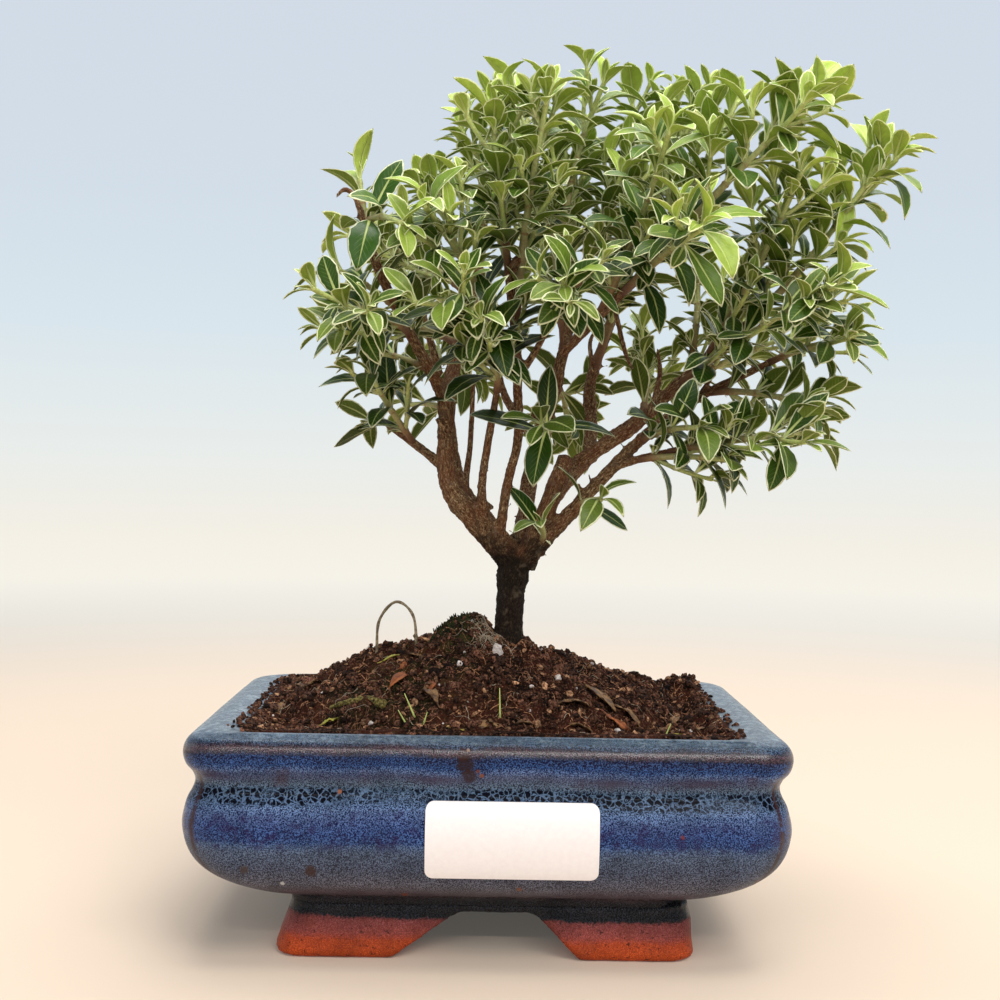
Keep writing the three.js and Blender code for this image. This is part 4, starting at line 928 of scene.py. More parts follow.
MATERIALS = {
    "upper": leaf_material("leaf_upper"), "under": leaf_material("leaf_under"), "stem": stem_material(),
    "bark": bark_material(), "soil": soil_material(), "glaze": glaze_material(),
    # Blank coated paper, with the faintest fibre and rub marks.
    "label": mottled_material("label", (0.9, 5.0, 0.6), (0.3, 0.7), (244, 237, 237), (248, 242, 241),
                              (0.36, 0.5), 0.006, IOR=1.45, Coat_Weight=0.1, Coat_Roughness=0.3),
    "mesh": mottled_material("drain_mesh", (0.5, 4.0), (0.4, 0.65), (34, 38, 34), (84, 68, 52), (0.45, 0.8), 0.1),
    "root": mottled_material("dry_root", (1.2, 4.0), (0.35, 0.65), (92, 78, 56), (150, 134, 104), (0.6, 0.8), 0.1),
    "peat": crumb_material("peat_crumb", (4, 2, 1), (108, 72, 55), 0.8, (0.1, 1.9)),
    "chip": crumb_material("bark_chip", (84, 48, 32), (196, 150, 112), 0.7, (0.3, 1.5)),
    "perlite": crumb_material("perlite", (188, 172, 164), (232, 224, 218), 0.7),
    "fibre": crumb_material("fibre", (70, 40, 28), (186, 134, 98), 0.7, (0.3, 1.6)),
    "rootlet": crumb_material("rootlet", (136, 116, 94), (202, 186, 164), 0.7),
    "moss": crumb_material("moss", (14, 17, 10), (62, 66, 36), 0.8, (0.4, 1.5)),
    "mossy_stick": crumb_material("mossy_stick", (52, 46, 24), (138, 124, 70), 0.75),
    "yellow": dead_leaf_material("yellow_leaf", (150, 126, 40), (184, 182, 70)),
    "orange": dead_leaf_material("orange_leaf", (120, 62, 28), (176, 100, 50)),
    "brown": dead_leaf_material("brown_leaf", (84, 56, 34), (150, 112, 70)),
}


# ---- Pot ----------------------------------------------------------------------------------------
def smooth_rows(rows, steps):
    """Rows of an outline, made finer along a curve through them."""
    return CatmullRom(rows).point(np.linspace(0, 1, (len(rows) - 1) * steps + 1))


def build_pot():
    rim = [POT_OUTSIDE[-1], *RIM_TOP, POT_INSIDE[0]]
    outside, over, inside = (smooth_rows(rows, OUTLINE_STEPS[part]) for rows, part in (
        (POT_OUTSIDE, "outside"), (rim, "rim"), (POT_INSIDE, "inside")))
    rows = [*outside, *over[1:], *inside[1:]]
    rings, corners = zip(*(rounded_ring(*row, 14, 26) for row in rows))
    points, faces = stacked(rings)

    # Thrown and fettled by hand: the walls wander by a fraction of a millimetre.
    outward = unit(points * [1, 1, 0] + 1e-9)
    wander = 0.22 * noise_at(points, 0.035, 3.0) + 0.08 * noise_at(points, 0.12, 9.0)
    points = points + outward * (wander * smoothstep(13.0, 20.0, points[:, 2]))[:, None]
    shape = Shape().add(points, faces, corner=np.concatenate(corners))
    pot = shape.make("pot_body", ["glaze"], slot="glaze", replaces=["pot"])
    for x in (-DRAIN_X, DRAIN_X):
        cut(pot, *stacked([circle(DRAIN_RADIUS, 40, x, z) for z in (FLOOR - FLOOR_THICKNESS, FLOOR + 3)]))


def arch_body(left, left_top, right_top, right, turned=False):
    """A tapering tunnel through the foot ring, from one side to the other."""
    top, shoulder = ARCH_TOP, ARCH_TOP - 0.9
    outline = [(left - 1, -3), (right + 1, -3), (right, 0), (right_top + 1.5, shoulder), (right_top - 1, top),
               (left_top + 1, top), (left_top - 1.5, shoulder), (left, 0)]
    rings = np.array([[[x, y, z] for x, z in outline] for y in (ARCH_REACH, -ARCH_REACH)], float)
    return stacked(rings[..., [1, 0, 2]] * [-1, 1, 1] if turned else rings)


def build_feet():
    """The foot ring with its four corner feet, fused and rounded as one fired edge."""
    ring = stacked([rounded_ring(*row, 10, 8)[0] for row in smooth_rows(FOOT_OUTSIDE, OUTLINE_STEPS["foot"])])
    feet = Shape().add(*ring).make("pot_feet", ["glaze"], slot="glaze")
    cut(feet, *arch_body(*ARCHES["front"]))
    cut(feet, *arch_body(*ARCHES["side"], turned=True))
    cut(feet, *stacked([rounded_ring(*row, 8, 4)[0] for row in RECESS]))
    remeshed(feet, FOOT_VOXEL)
    points, normals = mesh_points(feet.data), mesh_normals(feet.data)
    wear = 0.16 * noise_at(points, 0.25, 2.0) + 0.1 * noise_at(points, 0.9, 5.0)
    points = points + normals * np.where(points[:, 2] < WORN_ABOVE, 0.0, wear)[:, None]
    lean = smoothstep(*FOOT_LEAN["across"], points[:, 0]) * smoothstep(*FOOT_LEAN["up"], points[:, 2])
    points[:, 0] += FOOT_LEAN["out"] * lean
    points[:, 2] = np.maximum(points[:, 2], 0.0)
    set_points(feet.data, points)


def build_label():
    """A thin sticker with round corners that follows the belly."""
    low, high, corner, columns = LABEL["bottom"], LABEL["top"], LABEL["corner"], 9
    arc = corner * (1 - np.cos(np.linspace(0, math.pi / 2, 7)))
    levels = np.concatenate([low + arc, np.linspace(low + corner, high - corner, 14)[1:-1], (high - arc)[::-1]])
    into = np.clip(np.minimum(levels - low, high - levels), 0, corner)
    inset = corner - np.sqrt(np.maximum(corner ** 2 - (corner - into) ** 2, 0))
    ends = (LABEL["left"] + inset)[:, None], (LABEL["right"] - inset)[:, None]
    x = lerp(*ends, np.linspace(0, 1, columns))
    belly = CatmullRom(POT_OUTSIDE).point(np.linspace(0, 1, 400))
    back = -np.interp(levels, belly[:, 0], belly[:, 2]) - LABEL["gap"]
    layers = [np.stack(np.broadcast_arrays(x, depth[:, None], levels[:, None]), -1).reshape(-1, 3)
              for depth in (back, back - LABEL["thickness"])]
    sheet, total = ring_faces(len(levels), columns, closed=False), x.size
    rim = grid_rim(len(levels), columns)[::-1]
    after = np.roll(rim, -1)
    wall = np.stack([rim, after, after + total, rim + total], -1)
    label = Shape().add(np.vstack(layers), [sheet[:, ::-1], sheet + total, wall])
    label = label.make("label_blank", ["label"], slot="label", replaces=["label"])
    label.data.shade_smooth()
    label.data.set_sharp_from_angle(angle=math.radians(50))


def build_drain_mesh(node, x):
    """A round of woven plastic net over a drain hole."""
    shape = Shape()
    radius, pitch, z = NET["radius"], NET["pitch"], FLOOR + NET["lift"]
    for k in range(-5, 6):
        half = math.sqrt(max(radius ** 2 - (k * pitch) ** 2, 0))
        for turned in (False, True):
            steps = np.linspace(-half, half, 23)
            weave = NET["weave"] * np.cos(steps / pitch * math.pi + (math.pi if (k % 2 == 0) == turned else 0))
            line = np.column_stack([steps, np.full(23, k * pitch), weave])
            shape.tube((line[:, [1, 0, 2]] if turned else line) + [x, 0, z], NET["wire"], 5)
    edge = circle(radius, 48, x, z)
    shape.tube(np.vstack([edge, edge[:1]]), NET["edge_wire"], 6)
    shape.make(node + "_net", ["mesh"], slot="drain_mesh", replaces=[node])


# ---- Soil ---------------------------------------------------------------------------------------
def soil_height(x, y):
    """The heap's smooth height, as in the solids."""
    reach = np.hypot((x - SOIL["centre_x"]) / SOIL["spread_x"], y / SOIL["spread_y"])
    z = SOIL["edge"] + SOIL["rise"] * np.maximum(0, 1 - reach) ** SOIL["steepness"]
    for lx, ly, radius, height in SOIL_LUMPS:
        z = z + height * np.exp(-((x - lx) ** 2 + (y - ly) ** 2) / radius ** 2)
    return z


def level_noise(x, y, octaves):
    """The sum of some noises at level places."""
    flat = np.column_stack([np.ravel(x), np.ravel(y), np.zeros(np.size(x))])
    return sum(height * noise_at(flat, scale, seed) for height, scale, seed in octaves).reshape(np.shape(x))


def soil_relief(x, y):
    """Clods and crumbs on the heap."""
    return level_noise(x, y, CLODS)


def inside_half(z):
    """Half width, half depth and corner of the pot's inside at a height."""
    levels, *columns = zip(*POT_INSIDE[::-1])
    return [np.interp(z, levels, column) for column in columns]


def ground(x, y):
    """The finished soil: clods and crumbs on the heap, which evens out and rises over the pot's inner lip."""
    half_x, half_y, _ = inside_half(SOIL["edge"])
    wall = np.minimum(half_x - np.abs(x), half_y - np.abs(y))
    rise = EDGE["rise"] + EDGE["wander"] * soil_relief(0.3 * x, 0.3 * y)
    return (soil_height(x, y) + soil_relief(x, y) * smoothstep(-1.5, EDGE["width"], wall)
            + rise * smoothstep(EDGE["width"], 0.5, wall))


def moss_at(x, y):
    """How mossy the soil is, from 0 to 1."""
    return np.clip(sum(thick * np.exp(-((x - mx) ** 2 + (y - my) ** 2) / wide) for mx, my, wide, thick in MOSS), 0, 1)


def build_soil():
    nx, ny = SOIL_GRID
    half_x, half_y, corner = np.add(inside_half(SOIL["edge"]), [EDGE["over_x"], EDGE["over_y"], EDGE["corner"]])
    u, v = np.meshgrid(np.linspace(-1, 1, nx), np.linspace(-1, 1, ny), indexing="xy")
    x, y = u * half_x, v * half_y
    # Points beyond a corner's arc are drawn in to it.
    over_x, over_y = np.abs(x) - (half_x - corner), np.abs(y) - (half_y - corner)
    pull = np.maximum(over_x, over_y) / np.maximum(np.hypot(over_x, over_y), 1e-9)
    in_corner = (over_x > 0) & (over_y > 0)
    x = np.where(in_corner, np.sign(x) * (half_x - corner + over_x * pull), x)
    y = np.where(in_corner, np.sign(y) * (half_y - corner + over_y * pull), y)
    at_edge = smoothstep(EDGE["inmost"], 1.0, np.maximum(np.abs(u), np.abs(v)))
    ragged = EDGE["ragged"] * at_edge * level_noise(x, y, RAGS)
    z = ground(x, y)
    x, y = (place + np.sign(w) * (np.abs(w) >= EDGE["inmost"]) * ragged for place, w in ((x, u), (y, v)))
    top = np.stack([x, y, z], -1).reshape(-1, 3)
    rim = grid_rim(ny, nx)
    foot = top[rim] * [SOIL["foot_x"] / half_x, SOIL["foot_y"] / half_y, 0] + SOIL["bottom"] * UP
    i = len(top) + np.arange(len(rim))
    walls = np.stack([i, np.roll(i, -1), np.roll(rim, -1), rim], -1)
    shape = Shape().add(
        np.vstack([top, foot]), [ring_faces(ny, nx, closed=False), walls, [i[::-1]]], tint=0.5,
        moss=np.concatenate([moss_at(top[:, 0], top[:, 1]), np.zeros(len(rim))]))
    shape.make("soil_heap", ["soil"], slot="soil", replaces=["soil"])


def hull_faces(points):
    """The triangles of a small convex body round the origin, turned outwards."""
    faces = []
    n = len(points)
    for a, b, c in [(a, b, c) for a in range(n) for b in range(a + 1, n) for c in range(b + 1, n)]:
        height = (points - points[a]) @ np.cross(points[b] - points[a], points[c] - points[a])
        if np.all(height < 1e-6):
            faces.append([a, b, c])
        elif np.all(height > -1e-6):
            faces.append([a, c, b])
    return np.array(faces)


def finer(points, faces):
    """Splits each triangle of a ball in four."""
    points, made, index = list(points), [], {}

    def middle(a, b):
        key = (min(a, b), max(a, b))
        if key not in index:
            index[key] = len(points)
            points.append(unit(points[a] + points[b]))
        return index[key]

    for a, b, c in faces:
        ab, bc, ca = middle(a, b), middle(b, c), middle(c, a)
        made += [[a, ab, ca], [ab, b, bc], [ca, bc, c], [ab, bc, ca]]
    return np.array(points), np.array(made)


GOLDEN = 1.618034
ICOSAHEDRON = unit([np.roll([s, t * GOLDEN, 0], k) for k in range(3) for s in (-1, 1) for t in (-1, 1)])
BALL = (ICOSAHEDRON, hull_faces(ICOSAHEDRON))
FINE_BALL = finer(*BALL)
# Loose grains: [how many, smallest, largest, ball, look, how far sunk, flatness, share of the heap].
GRAIN_LOOKS = ["peat", "chip", "perlite"]
GRAINS = [[2600, 0.35, 0.95, BALL, 0, 0.2, 1.0, 1.0], [230, 0.8, 1.8, FINE_BALL, 0, 0.35, 0.7, 1.0],
          [420, 0.3, 1.3, BALL, 1, 0.2, 0.4, 1.0], [55, 0.25, 0.55, FINE_BALL, 2, 0.2, 1.0, 0.96]]


def scatter_place(rng, share=1.0):
    """A random place on the soil, off the trunk."""
    while True:
        x, y = rng.uniform(-GRAINS_X, GRAINS_X) * share, rng.uniform(-GRAINS_Y, GRAINS_Y) * share
        if math.hypot(x - TRUNK_X, y) > TRUNK_CLEAR:
            return x, y


def add_grain(shape, rng, x, y, size, ball, kind, sink=0.2, flat=1.0, z=None):
    """A stone, clod or chip at a place, on the soil or at a height of its own."""
    points, faces = ball
    stretch = rng.uniform(0.65, 1.3, 3) * [1, 1, flat]
    spun = points * stretch * (1 + rng.uniform(-0.22, 0.22, (len(points), 1)))
    turn = np.array(Matrix.Rotation(rng.uniform(0, 6.28), 3, Vector(unit(rng.normal(size=3)))))
    spun = spun @ turn.T * size
    bed = ground(x, y) if z is None else z
    shape.add(spun + [x, y, bed + size * (0.5 - sink)], [faces], kind, tint=rng.uniform(0, 1))


def lip_places(rng, count):
    """Places along the pot's lip, from its inner round to partway across its level top."""
    rings = [rounded_ring(*row, 10, 40)[0] for row in (POT_INSIDE[0], RIM_TOP[1])]
    at, onward = rng.integers(0, len(rings[0]), count), rng.uniform(0, 1, (count, 1))
    inner, outer = (lerp(ring[at], ring[(at + 1) % len(ring)], onward) for ring in rings)
    return lerp(inner, outer, rng.uniform(-0.9, 0.55, (count, 1)) * rng.uniform(0.1, 0.9, (count, 1)))


def build_crumbs():
    """Loose peat, bark chips and perlite on the heap, and peat that has crept on to the pot's lip."""
    rng = np.random.default_rng(21)
    shape = Shape()
    for x, y, z in lip_places(rng, LIP_CRUMBS):
        add_grain(shape, rng, x, y, rng.uniform(0.3, 0.95), BALL, 0, sink=0.3, z=z)
    for count, smallest, largest, ball, kind, sink, flat, share in GRAINS:
        for _ in range(count):
            x, y = scatter_place(rng, share)
            add_grain(shape, rng, x, y, rng.uniform(smallest, largest), ball, kind, sink, flat)
    for row in PERLITE:
        add_grain(shape, rng, *row, FINE_BALL, GRAIN_LOOKS.index("perlite"))
    shape.make("soil_crumbs", GRAIN_LOOKS, slot="soil", smooth=False)


def on_knoll(rng):
    """A place on the mossy knoll or in front of it."""
    return rng.normal(0, 2.4), rng.normal(-6.5, 2.4)


def at_trunk(rng):
    """A place at the trunk's foot, and the way out from it."""
    turn = rng.uniform(0, FULL_TURN)
    return TRUNK_X + 4.6 * math.cos(turn), 4.6 * math.sin(turn), turn


# Strands: [how many, where, shortest and longest, thinnest and thickest, look, rise, sides, steps].
STRAND_LOOKS = ["fibre", "rootlet"]
STRANDS = [
    [1900, scatter_place, (1.6, 6.0), (0.07, 0.2), 0, 0.35, 3, 5],
    [150, scatter_place, (3.0, 8.0), (0.07, 0.12), 1, 0.35, 3, 7],
    [55, on_knoll, (4.0, 9.0), (0.09, 0.15), 1, 0.8, 3, 8],
    [26, at_trunk, (5.0, 11.0), (0.18, 0.4), 0, 0.5, 5, 9],
]


def add_strand(shape, rng, place, length, radius, kind, rise, sides, steps):
    """A fibre or rootlet that wanders over the soil and partly stands out of it."""
    x, y, turn = place if len(place) > 2 else (*place, rng.uniform(0, FULL_TURN))
    line = []
    for k in range(steps):
        line.append([x, y])
        turn += rng.normal(0, 0.42)
        x = float(np.clip(x + math.cos(turn) * length / steps, -STRANDS_X, STRANDS_X))
        y = float(np.clip(y + math.sin(turn) * length / steps, -STRANDS_Y, STRANDS_Y))
    line = np.array(line)
    lift = rise * length * 0.25 * np.sin(np.linspace(0, math.pi, steps)) * rng.uniform(0.1, 1.0)
    z = ground(line[:, 0], line[:, 1]) + lift + radius * 0.5
    radii = radius * np.linspace(1.0, 0.45, steps)
    shape.tube(np.column_stack([line, z]), radii, sides, kind, tint=rng.uniform(0, 1))


def build_fibres():
    """Peat fibres all over the heap, and pale rootlets on the knoll and round the trunk."""
    rng = np.random.default_rng(33)
    shape = Shape()
    for count, where, lengths, radii, *rest in STRANDS:
        for _ in range(count):
            add_strand(shape, rng, where(rng), rng.uniform(*lengths), rng.uniform(*radii), *rest)
    shape.make("soil_fibres", STRAND_LOOKS, slot="soil")


def build_moss():
    """Tufts of moss: short blunt shoots crowded on the knoll."""
    rng = np.random.default_rng(8)
    shape = Shape()
    for _ in range(TUFTS["tries"]):
        x, y = rng.normal(*TUFTS["x"]), rng.normal(*TUFTS["y"])
        if math.hypot(x - TRUNK_X, y) < TRUNK_CLEAR or moss_at(x, y) < rng.uniform(0.1, 0.7):
            continue
        lean = np.array([rng.normal(0, 0.35), rng.normal(0, 0.35), 1.0])
        steps = np.linspace(-0.3, rng.uniform(0.4, 1.1), 4)[:, None]
        shape.tube([x, y, ground(x, y)] + steps * lean, TUFTS["radii"], 4, tint=rng.uniform(0, 1))
    shape.make("moss_tufts", ["moss"], slot="soil")


# ---- Leaves and stems ---------------------------------------------------------------------------
def blade_faces():
    """Faces of one blade: an upper and an under sheet that share their margin. Points run the upper sheet's
    rows first, then the under sheet's inner points."""
    rows, columns = len(ALONG), len(ACROSS)
    upper = np.arange(rows * columns).reshape(rows, columns)
    under = upper.copy()
    inner = np.arange((rows - 2) * (columns - 2))
    under[1:-1, 1:-1] = rows * columns + inner.reshape(rows - 2, columns - 2)
    sheets = [np.stack([grid[:-1, :-1], grid[1:, :-1], grid[1:, 1:], grid[:-1, 1:]], -1).reshape(-1, 4)
              for grid in (upper, under)]
    return [sheets[0], sheets[1][:, ::-1]]


BLADE_FACES = blade_faces()


def blade_points(leaves, rng, curl=None, crumple=0.0):
    """Points and values of many blades at once, from their base, heading, face, length and width."""
    n = len(leaves)
    base, heading, face = (np.array([leaf[key] for leaf in leaves])[:, None, None, :]
                           for key in ("base", "heading", "face"))
    length, width, youth, sun = (np.array([leaf[key] for leaf in leaves])[:, None, None]
                                 for key in ("length", "width", "youth", "sun"))

    def each(name):
        return rng.uniform(*BLADE[name], (n, 1, 1))

    t, a = ALONG[None, :, None], ACROSS[None, None, :]
    half = width / 2 * OUTLINE[None, :, None] * (1 + each("taper") * (t - 0.5))
    arch = np.clip(LEAF["arch"] + each("arch"), -0.02, 0.24) if curl is None else curl
    bow = 4 * arch * length * t * (0.8 - t)
    fold = each("fold") + BLADE["young_fold"] * youth
    across = a * half
    rise = fold * np.abs(across) - each("recurve") * half * np.abs(a) ** 3
    rise = rise + each("ripple") * half * np.sin(9 * t + 4 * a)
    twist = each("twist") * t
    lifted = bow + across * np.sin(twist) + rise * np.cos(twist)
    sideways = across * np.cos(twist) - rise * np.sin(twist) + each("sway") * length * t ** 2
    forward = length * t
    if crumple:
        forward = forward + crumple * rng.normal(0, 0.25, lifted.shape)
        lifted = lifted + crumple * rng.normal(0, 0.35, lifted.shape)
    middle = (base + forward[..., None] * heading + sideways[..., None] * np.cross(heading, face)
              + lifted[..., None] * face)
    fat = LEAF["thickness"] / 2 * (1 - np.abs(a) ** 4)
    groove = BLADE["groove"] * (a == 0) * np.sin(math.pi * np.clip(t, 0.02, 0.98))
    ridge = BLADE["ridge"] * (a == 0) * (1 - t)
    edge = np.ones((len(ALONG), len(ACROSS), 1), bool)
    edge[1:-1, 1:-1] = False
    upper = np.where(edge, middle, middle + (fat - groove)[..., None] * face)
    under = middle - (fat + ridge)[..., None] * face

    def joined(upper, under, *size):
        """Rows for the whole upper sheet, then for the under sheet's inner points."""
        return np.concatenate([upper.reshape(n, -1, *size), under[:, 1:-1, 1:-1].reshape(n, -1, *size)], 1)

    shown = np.abs(across)
    rim = np.minimum(half - shown, (1 - t) * length * 0.6)
    tint = rng.uniform(0, 1, (n, 1, 1))
    values = {"sun": sun, "rib": shown, "rim": rim, "along": t, "youth": youth, "tint": tint}
    grids = {name: np.broadcast_to(grid, middle.shape[:3]) for name, grid in values.items()}
    return joined(upper, under, 3), {name: joined(grid, grid).ravel() for name, grid in grids.items()}


def add_blades(shape, leaves, rng, kinds=(0, 1), **options):
    points, values = blade_points(leaves, rng, **options)
    first = (np.arange(len(leaves)) * points.shape[1])[:, None, None]
    faces = [(sheet[None] + first).reshape(-1, 4) for sheet in BLADE_FACES]
    shape.add(points, faces, list(kinds), **values)


def add_stem(shape, stem, age_foot, age_tip):
    """A green stem, swollen at each pair of leaves."""
    own, length = SIDE_STEM if stem["order"] else STEM, stem["length"]
    places = sorted({leaf["place"] for leaf in stem["leaves"]})
    near = 0.55 / length
    t = np.concatenate([np.linspace(0, 1, 7)] + [[place - near, place, place + near] for place in places])
    t = np.unique(np.clip(t, 0, 1))
    t = t[np.concatenate([[True], np.diff(t) > 0.25 / length])]
    node = np.zeros_like(t)
    for place in places:
        node = np.maximum(node, np.exp(-((t - place) * length / 0.5) ** 2))
    radii = lerp(own["foot"] + own["foot_per_length"] * length, own["tip"] * 0.85, t) * 0.95 * (1 + 0.28 * node)
    sides = 6 if stem["order"] else 8
    shape.tube(stem["curve"].point(t), radii, sides, 2, age=lerp(age_foot, age_tip, t), node=node)


def sun_at(point):
    """How much light a place in the crown gets: full at the top and outside, little inside and below."""
    x, y, z = point
    outward = math.hypot((x - CROWN["middle_x"]) / CROWN["reach_x"], y / CROWN["reach_y"])
    above = smoothstep(CROWN["dim"], CROWN["bright"], z)
    below = 0.3 * smoothstep(*CROWN["under"], z)
    return float(np.clip(0.04 + 0.84 * above + 0.5 * (outward - 0.45), below, 1.0))


def leaf_ages(stem):
    """How young each leaf of a stem is, 0 dark and old to 1 fresh, made fresher and paler in bright places as painted
    light, and how bright its place makes it, painted light and shade.
    """
    for leaf in stem["leaves"]:
        sun = sun_at(leaf["base"] + 0.5 * leaf["length"] * leaf["heading"])
        young = 0.55 * leaf["place"] ** 3 + (0.4 if leaf["terminal"] else 0) + (0.06 if stem["order"] else 0)
        leaf["youth"] = float(np.clip(young * (0.1 + 1.25 * sun), 0, 1))
        leaf["sun"] = min(0.5 + 0.95 * sun, 1.4 - 0.35 * leaf["youth"])


def stay_in_box(leaf):
    """Shortens a leaf that would pass the box of the solids by more than a little."""
    low, high = (np.array(corner) / MM - MIDDLE for corner in cad_bounds)
    low[2] = CROWN_FOOT
    for i in range(3):
        base, heading = leaf["base"][i], leaf["heading"][i]
        side = high[i] + BOX_SPARE if heading > 0 else low[i] - BOX_SPARE
        room = (side - base) / heading if abs(heading) > 0.05 else leaf["length"]
        share = min(1.0, max(room, SHORTEST_LEAF) / leaf["length"])
        leaf["length"] *= share
        leaf["width"] *= share


def axil_leaves(stem, rng):
    """Pairs of small leaves from the buds in some axils, on all but the shortest stems."""
    small = []
    if stem["order"] == 0 and stem["length"] < AXIL["shortest_parent"]:
        return small
    for leaf in [leaf for leaf in stem["leaves"] if not leaf["terminal"] and rng.random() < AXIL["chance"]]:
        along = stem["curve"].tangent(leaf["place"])
        growth = unit(0.8 * along + leaf["radial"] + 0.2 * UP)
        side = unit(np.cross(along, leaf["radial"]))
        for turn in (-1, 1):
            heading = unit(growth + turn * AXIL["splay"] * side + rng.normal(0, 0.15, 3))
            length = rng.uniform(AXIL["shortest"], AXIL["longest"])
            small.append({"base": leaf["base"] + AXIL["out"] * leaf["radial"], "heading": heading,
                          "face": upper_face(growth, heading), "length": length,
                          "width": length * rng.uniform(0.36, 0.5), "place": leaf["place"], "terminal": False})
    return small


def build_shoot(number, limb, place, tip, leaf_size=1):
    node = f"shoot_{number:02d}"
    axis = shoot_axis(limb, place, tip)
    main = grow_stem(axis, axis.length(), 0, leaf_size, seeded(1000 + number - 1))
    rng = np.random.default_rng(500 + number)
    stems = [main, *main["sides"]]
    for stem in stems:
        for leaf in stem["leaves"]:
            leaf["length"] *= FULLER["length"]
            leaf["width"] *= FULLER["width"]
        stem["leaves"] += axil_leaves(stem, rng)
        leaf_ages(stem)
        for leaf in stem["leaves"]:
            stay_in_box(leaf)
    shape = Shape()
    add_blades(shape, [leaf for stem in stems for leaf in stem["leaves"]], rng)
    # Shoots in brighter places get greener, paler stem tips: painted light.
    sun = sun_at(axis.point(0.5))
    add_stem(shape, main, 1.0, 0.25 - 0.2 * sun)
    for stem in main["sides"]:
        add_stem(shape, stem, 0.45 - 0.15 * sun, 0.1)
    shape.make(node + "_leafy", ["upper", "under", "stem"], slot="foliage", replaces=[node])


# ---- Wood ---------------------------------------------------------------------------------------
def limb_rings(points, rng):
    """Centres and radii along a limb, with knots and swellings, and the distance of each along it."""
    curve = CatmullRom(points)
    rough = curve.point(np.linspace(0, 1, 200))
    length = np.linalg.norm(np.diff(rough[:, :3], axis=0), axis=1).sum()
    t = np.linspace(0, 1, max(4, int(length / RING_STEP)))
    radii = np.interp(t * (len(points) - 1), np.arange(len(points)), [p[3] for p in points])
    for _ in range(int(length / KNOT_STEP)):
        knot = rng.uniform(0.05, 0.95)
        radii = radii * (1 + rng.uniform(0.04, 0.12) * np.exp(-((t - knot) * length / rng.uniform(1.2, 2.6)) ** 2))
    return curve.point(t)[:, :3], radii, t * length


def add_spurs(shape, rng, centres, radii, frames):
    """Broken twig ends and thorn-like buds that stand off a limb."""
    for k in range(6, len(centres) - 3, SPURS["every"]):
        if rng.random() > SPURS["chance"]:
            continue
        turn = rng.uniform(0, FULL_TURN)
        side, across = frames[k]
        out = unit(math.cos(turn) * side + math.sin(turn) * across + 0.5 * np.cross(side, across))
        steps = np.linspace(0.5 * radii[k], radii[k] + rng.uniform(*SPURS["reach"]), 4)[:, None]
        shape.tube(centres[k] + steps * out, np.linspace(0.62, 0.34, 4), 6)


def bark_places(points, skeleton):
    """Each point's place on its limb: round it in two, and along it drawn out, so that fissures run lengthwise."""
    tree = KDTree(len(skeleton))
    for i, (centre, _, _) in enumerate(skeleton):
        tree.insert(Vector(centre), i)
    tree.balance()
    places = np.empty_like(points)
    for i, point in enumerate(points):
        centre, (side, across), distance = skeleton[tree.find(Vector(point))[1]]
        offset = point - centre
        places[i] = offset.dot(side), offset.dot(across), 0.5 * (distance + offset.dot(np.cross(side, across)))
    return places


def build_wood():
    rng = np.random.default_rng(5)
    shape = Shape()
    skeleton = []
    for index, points in enumerate([TRUNK, *LIMBS.values(), *TWIGS]):
        centres, radii, distance = limb_rings(points, rng)
        sides = 18 if radii[0] > 3 else 12
        round_limb = 3 * np.linspace(0, FULL_TURN, sides, endpoint=False)
        fluting = 1 + 0.05 * np.sin(round_limb + 0.12 * distance[:, None] + index)
        frames = shape.tube(centres, radii, sides, wobble=fluting)
        skeleton += zip(centres, frames, distance + 97.0 * index)
        if index and radii[0] > 1.2:
            add_spurs(shape, rng, centres, radii, frames)
    wood = shape.make("trunk_and_limbs", ["bark"], slot="bark", replaces=["trunk"])
    remeshed(wood, WOOD_VOXEL)
    points, normals = mesh_points(wood.data), mesh_normals(wood.data)
    bark = bark_places(points, skeleton)
    ridges = 0.5 - np.abs(noise_at(bark, 0.75))
    relief = 0.5 * ridges + 0.3 * noise_at(bark, 1.7, 4.0) + 0.2 * noise_at(points, 0.35, 8.0) - 0.35
    thick = smoothstep(0.5, 2.4, np.linalg.norm(bark[:, :2], axis=1))
    set_points(wood.data, points + normals * (relief * thick)[:, None])
    wood.data.attributes.new("bark", "FLOAT_VECTOR", "POINT").data.foreach_set("vector", bark.ravel())


# ---- Litter -------------------------------------------------------------------------------------
def build_root_loop():
    feet = [[*ROOT_LOOP[key], ground(*ROOT_LOOP[key]) - 0.6] for key in ("left", "right")]
    t = np.linspace(0, 1, 46)
    uneven = 0.1 * np.sin(t * 37) + np.random.default_rng(2).uniform(-0.06, 0.06, len(t))
    centres = CatmullRom([feet[0], *ROOT_LOOP["crown"], feet[1]]).point(t)
    shape = Shape()
    shape.tube(centres, ROOT_RADIUS * (1 + uneven), 8)
    shape.make("root_hoop", ["root"], slot="dry_root", replaces=["root_loop"])


def lying_leaf(x, y, heading, length):
    """A blade that lies on the slope of the soil."""
    turn = math.radians(heading)
    half = 0.5 * length * np.array([math.cos(turn), math.sin(turn)])
    ends = [np.array([x, y]) - half, np.array([x, y]) + half]
    foot, tip = (np.array([*end, soil_height(*end) + 0.6 * soil_relief(*end) + 0.5]) for end in ends)
    direction = unit(tip - foot)
    face = unit(UP - UP.dot(direction) * direction)
    return {"base": foot, "heading": direction, "face": face, "length": length, "width": 0.46 * length,
            "youth": 0.0, "sun": 1.0}


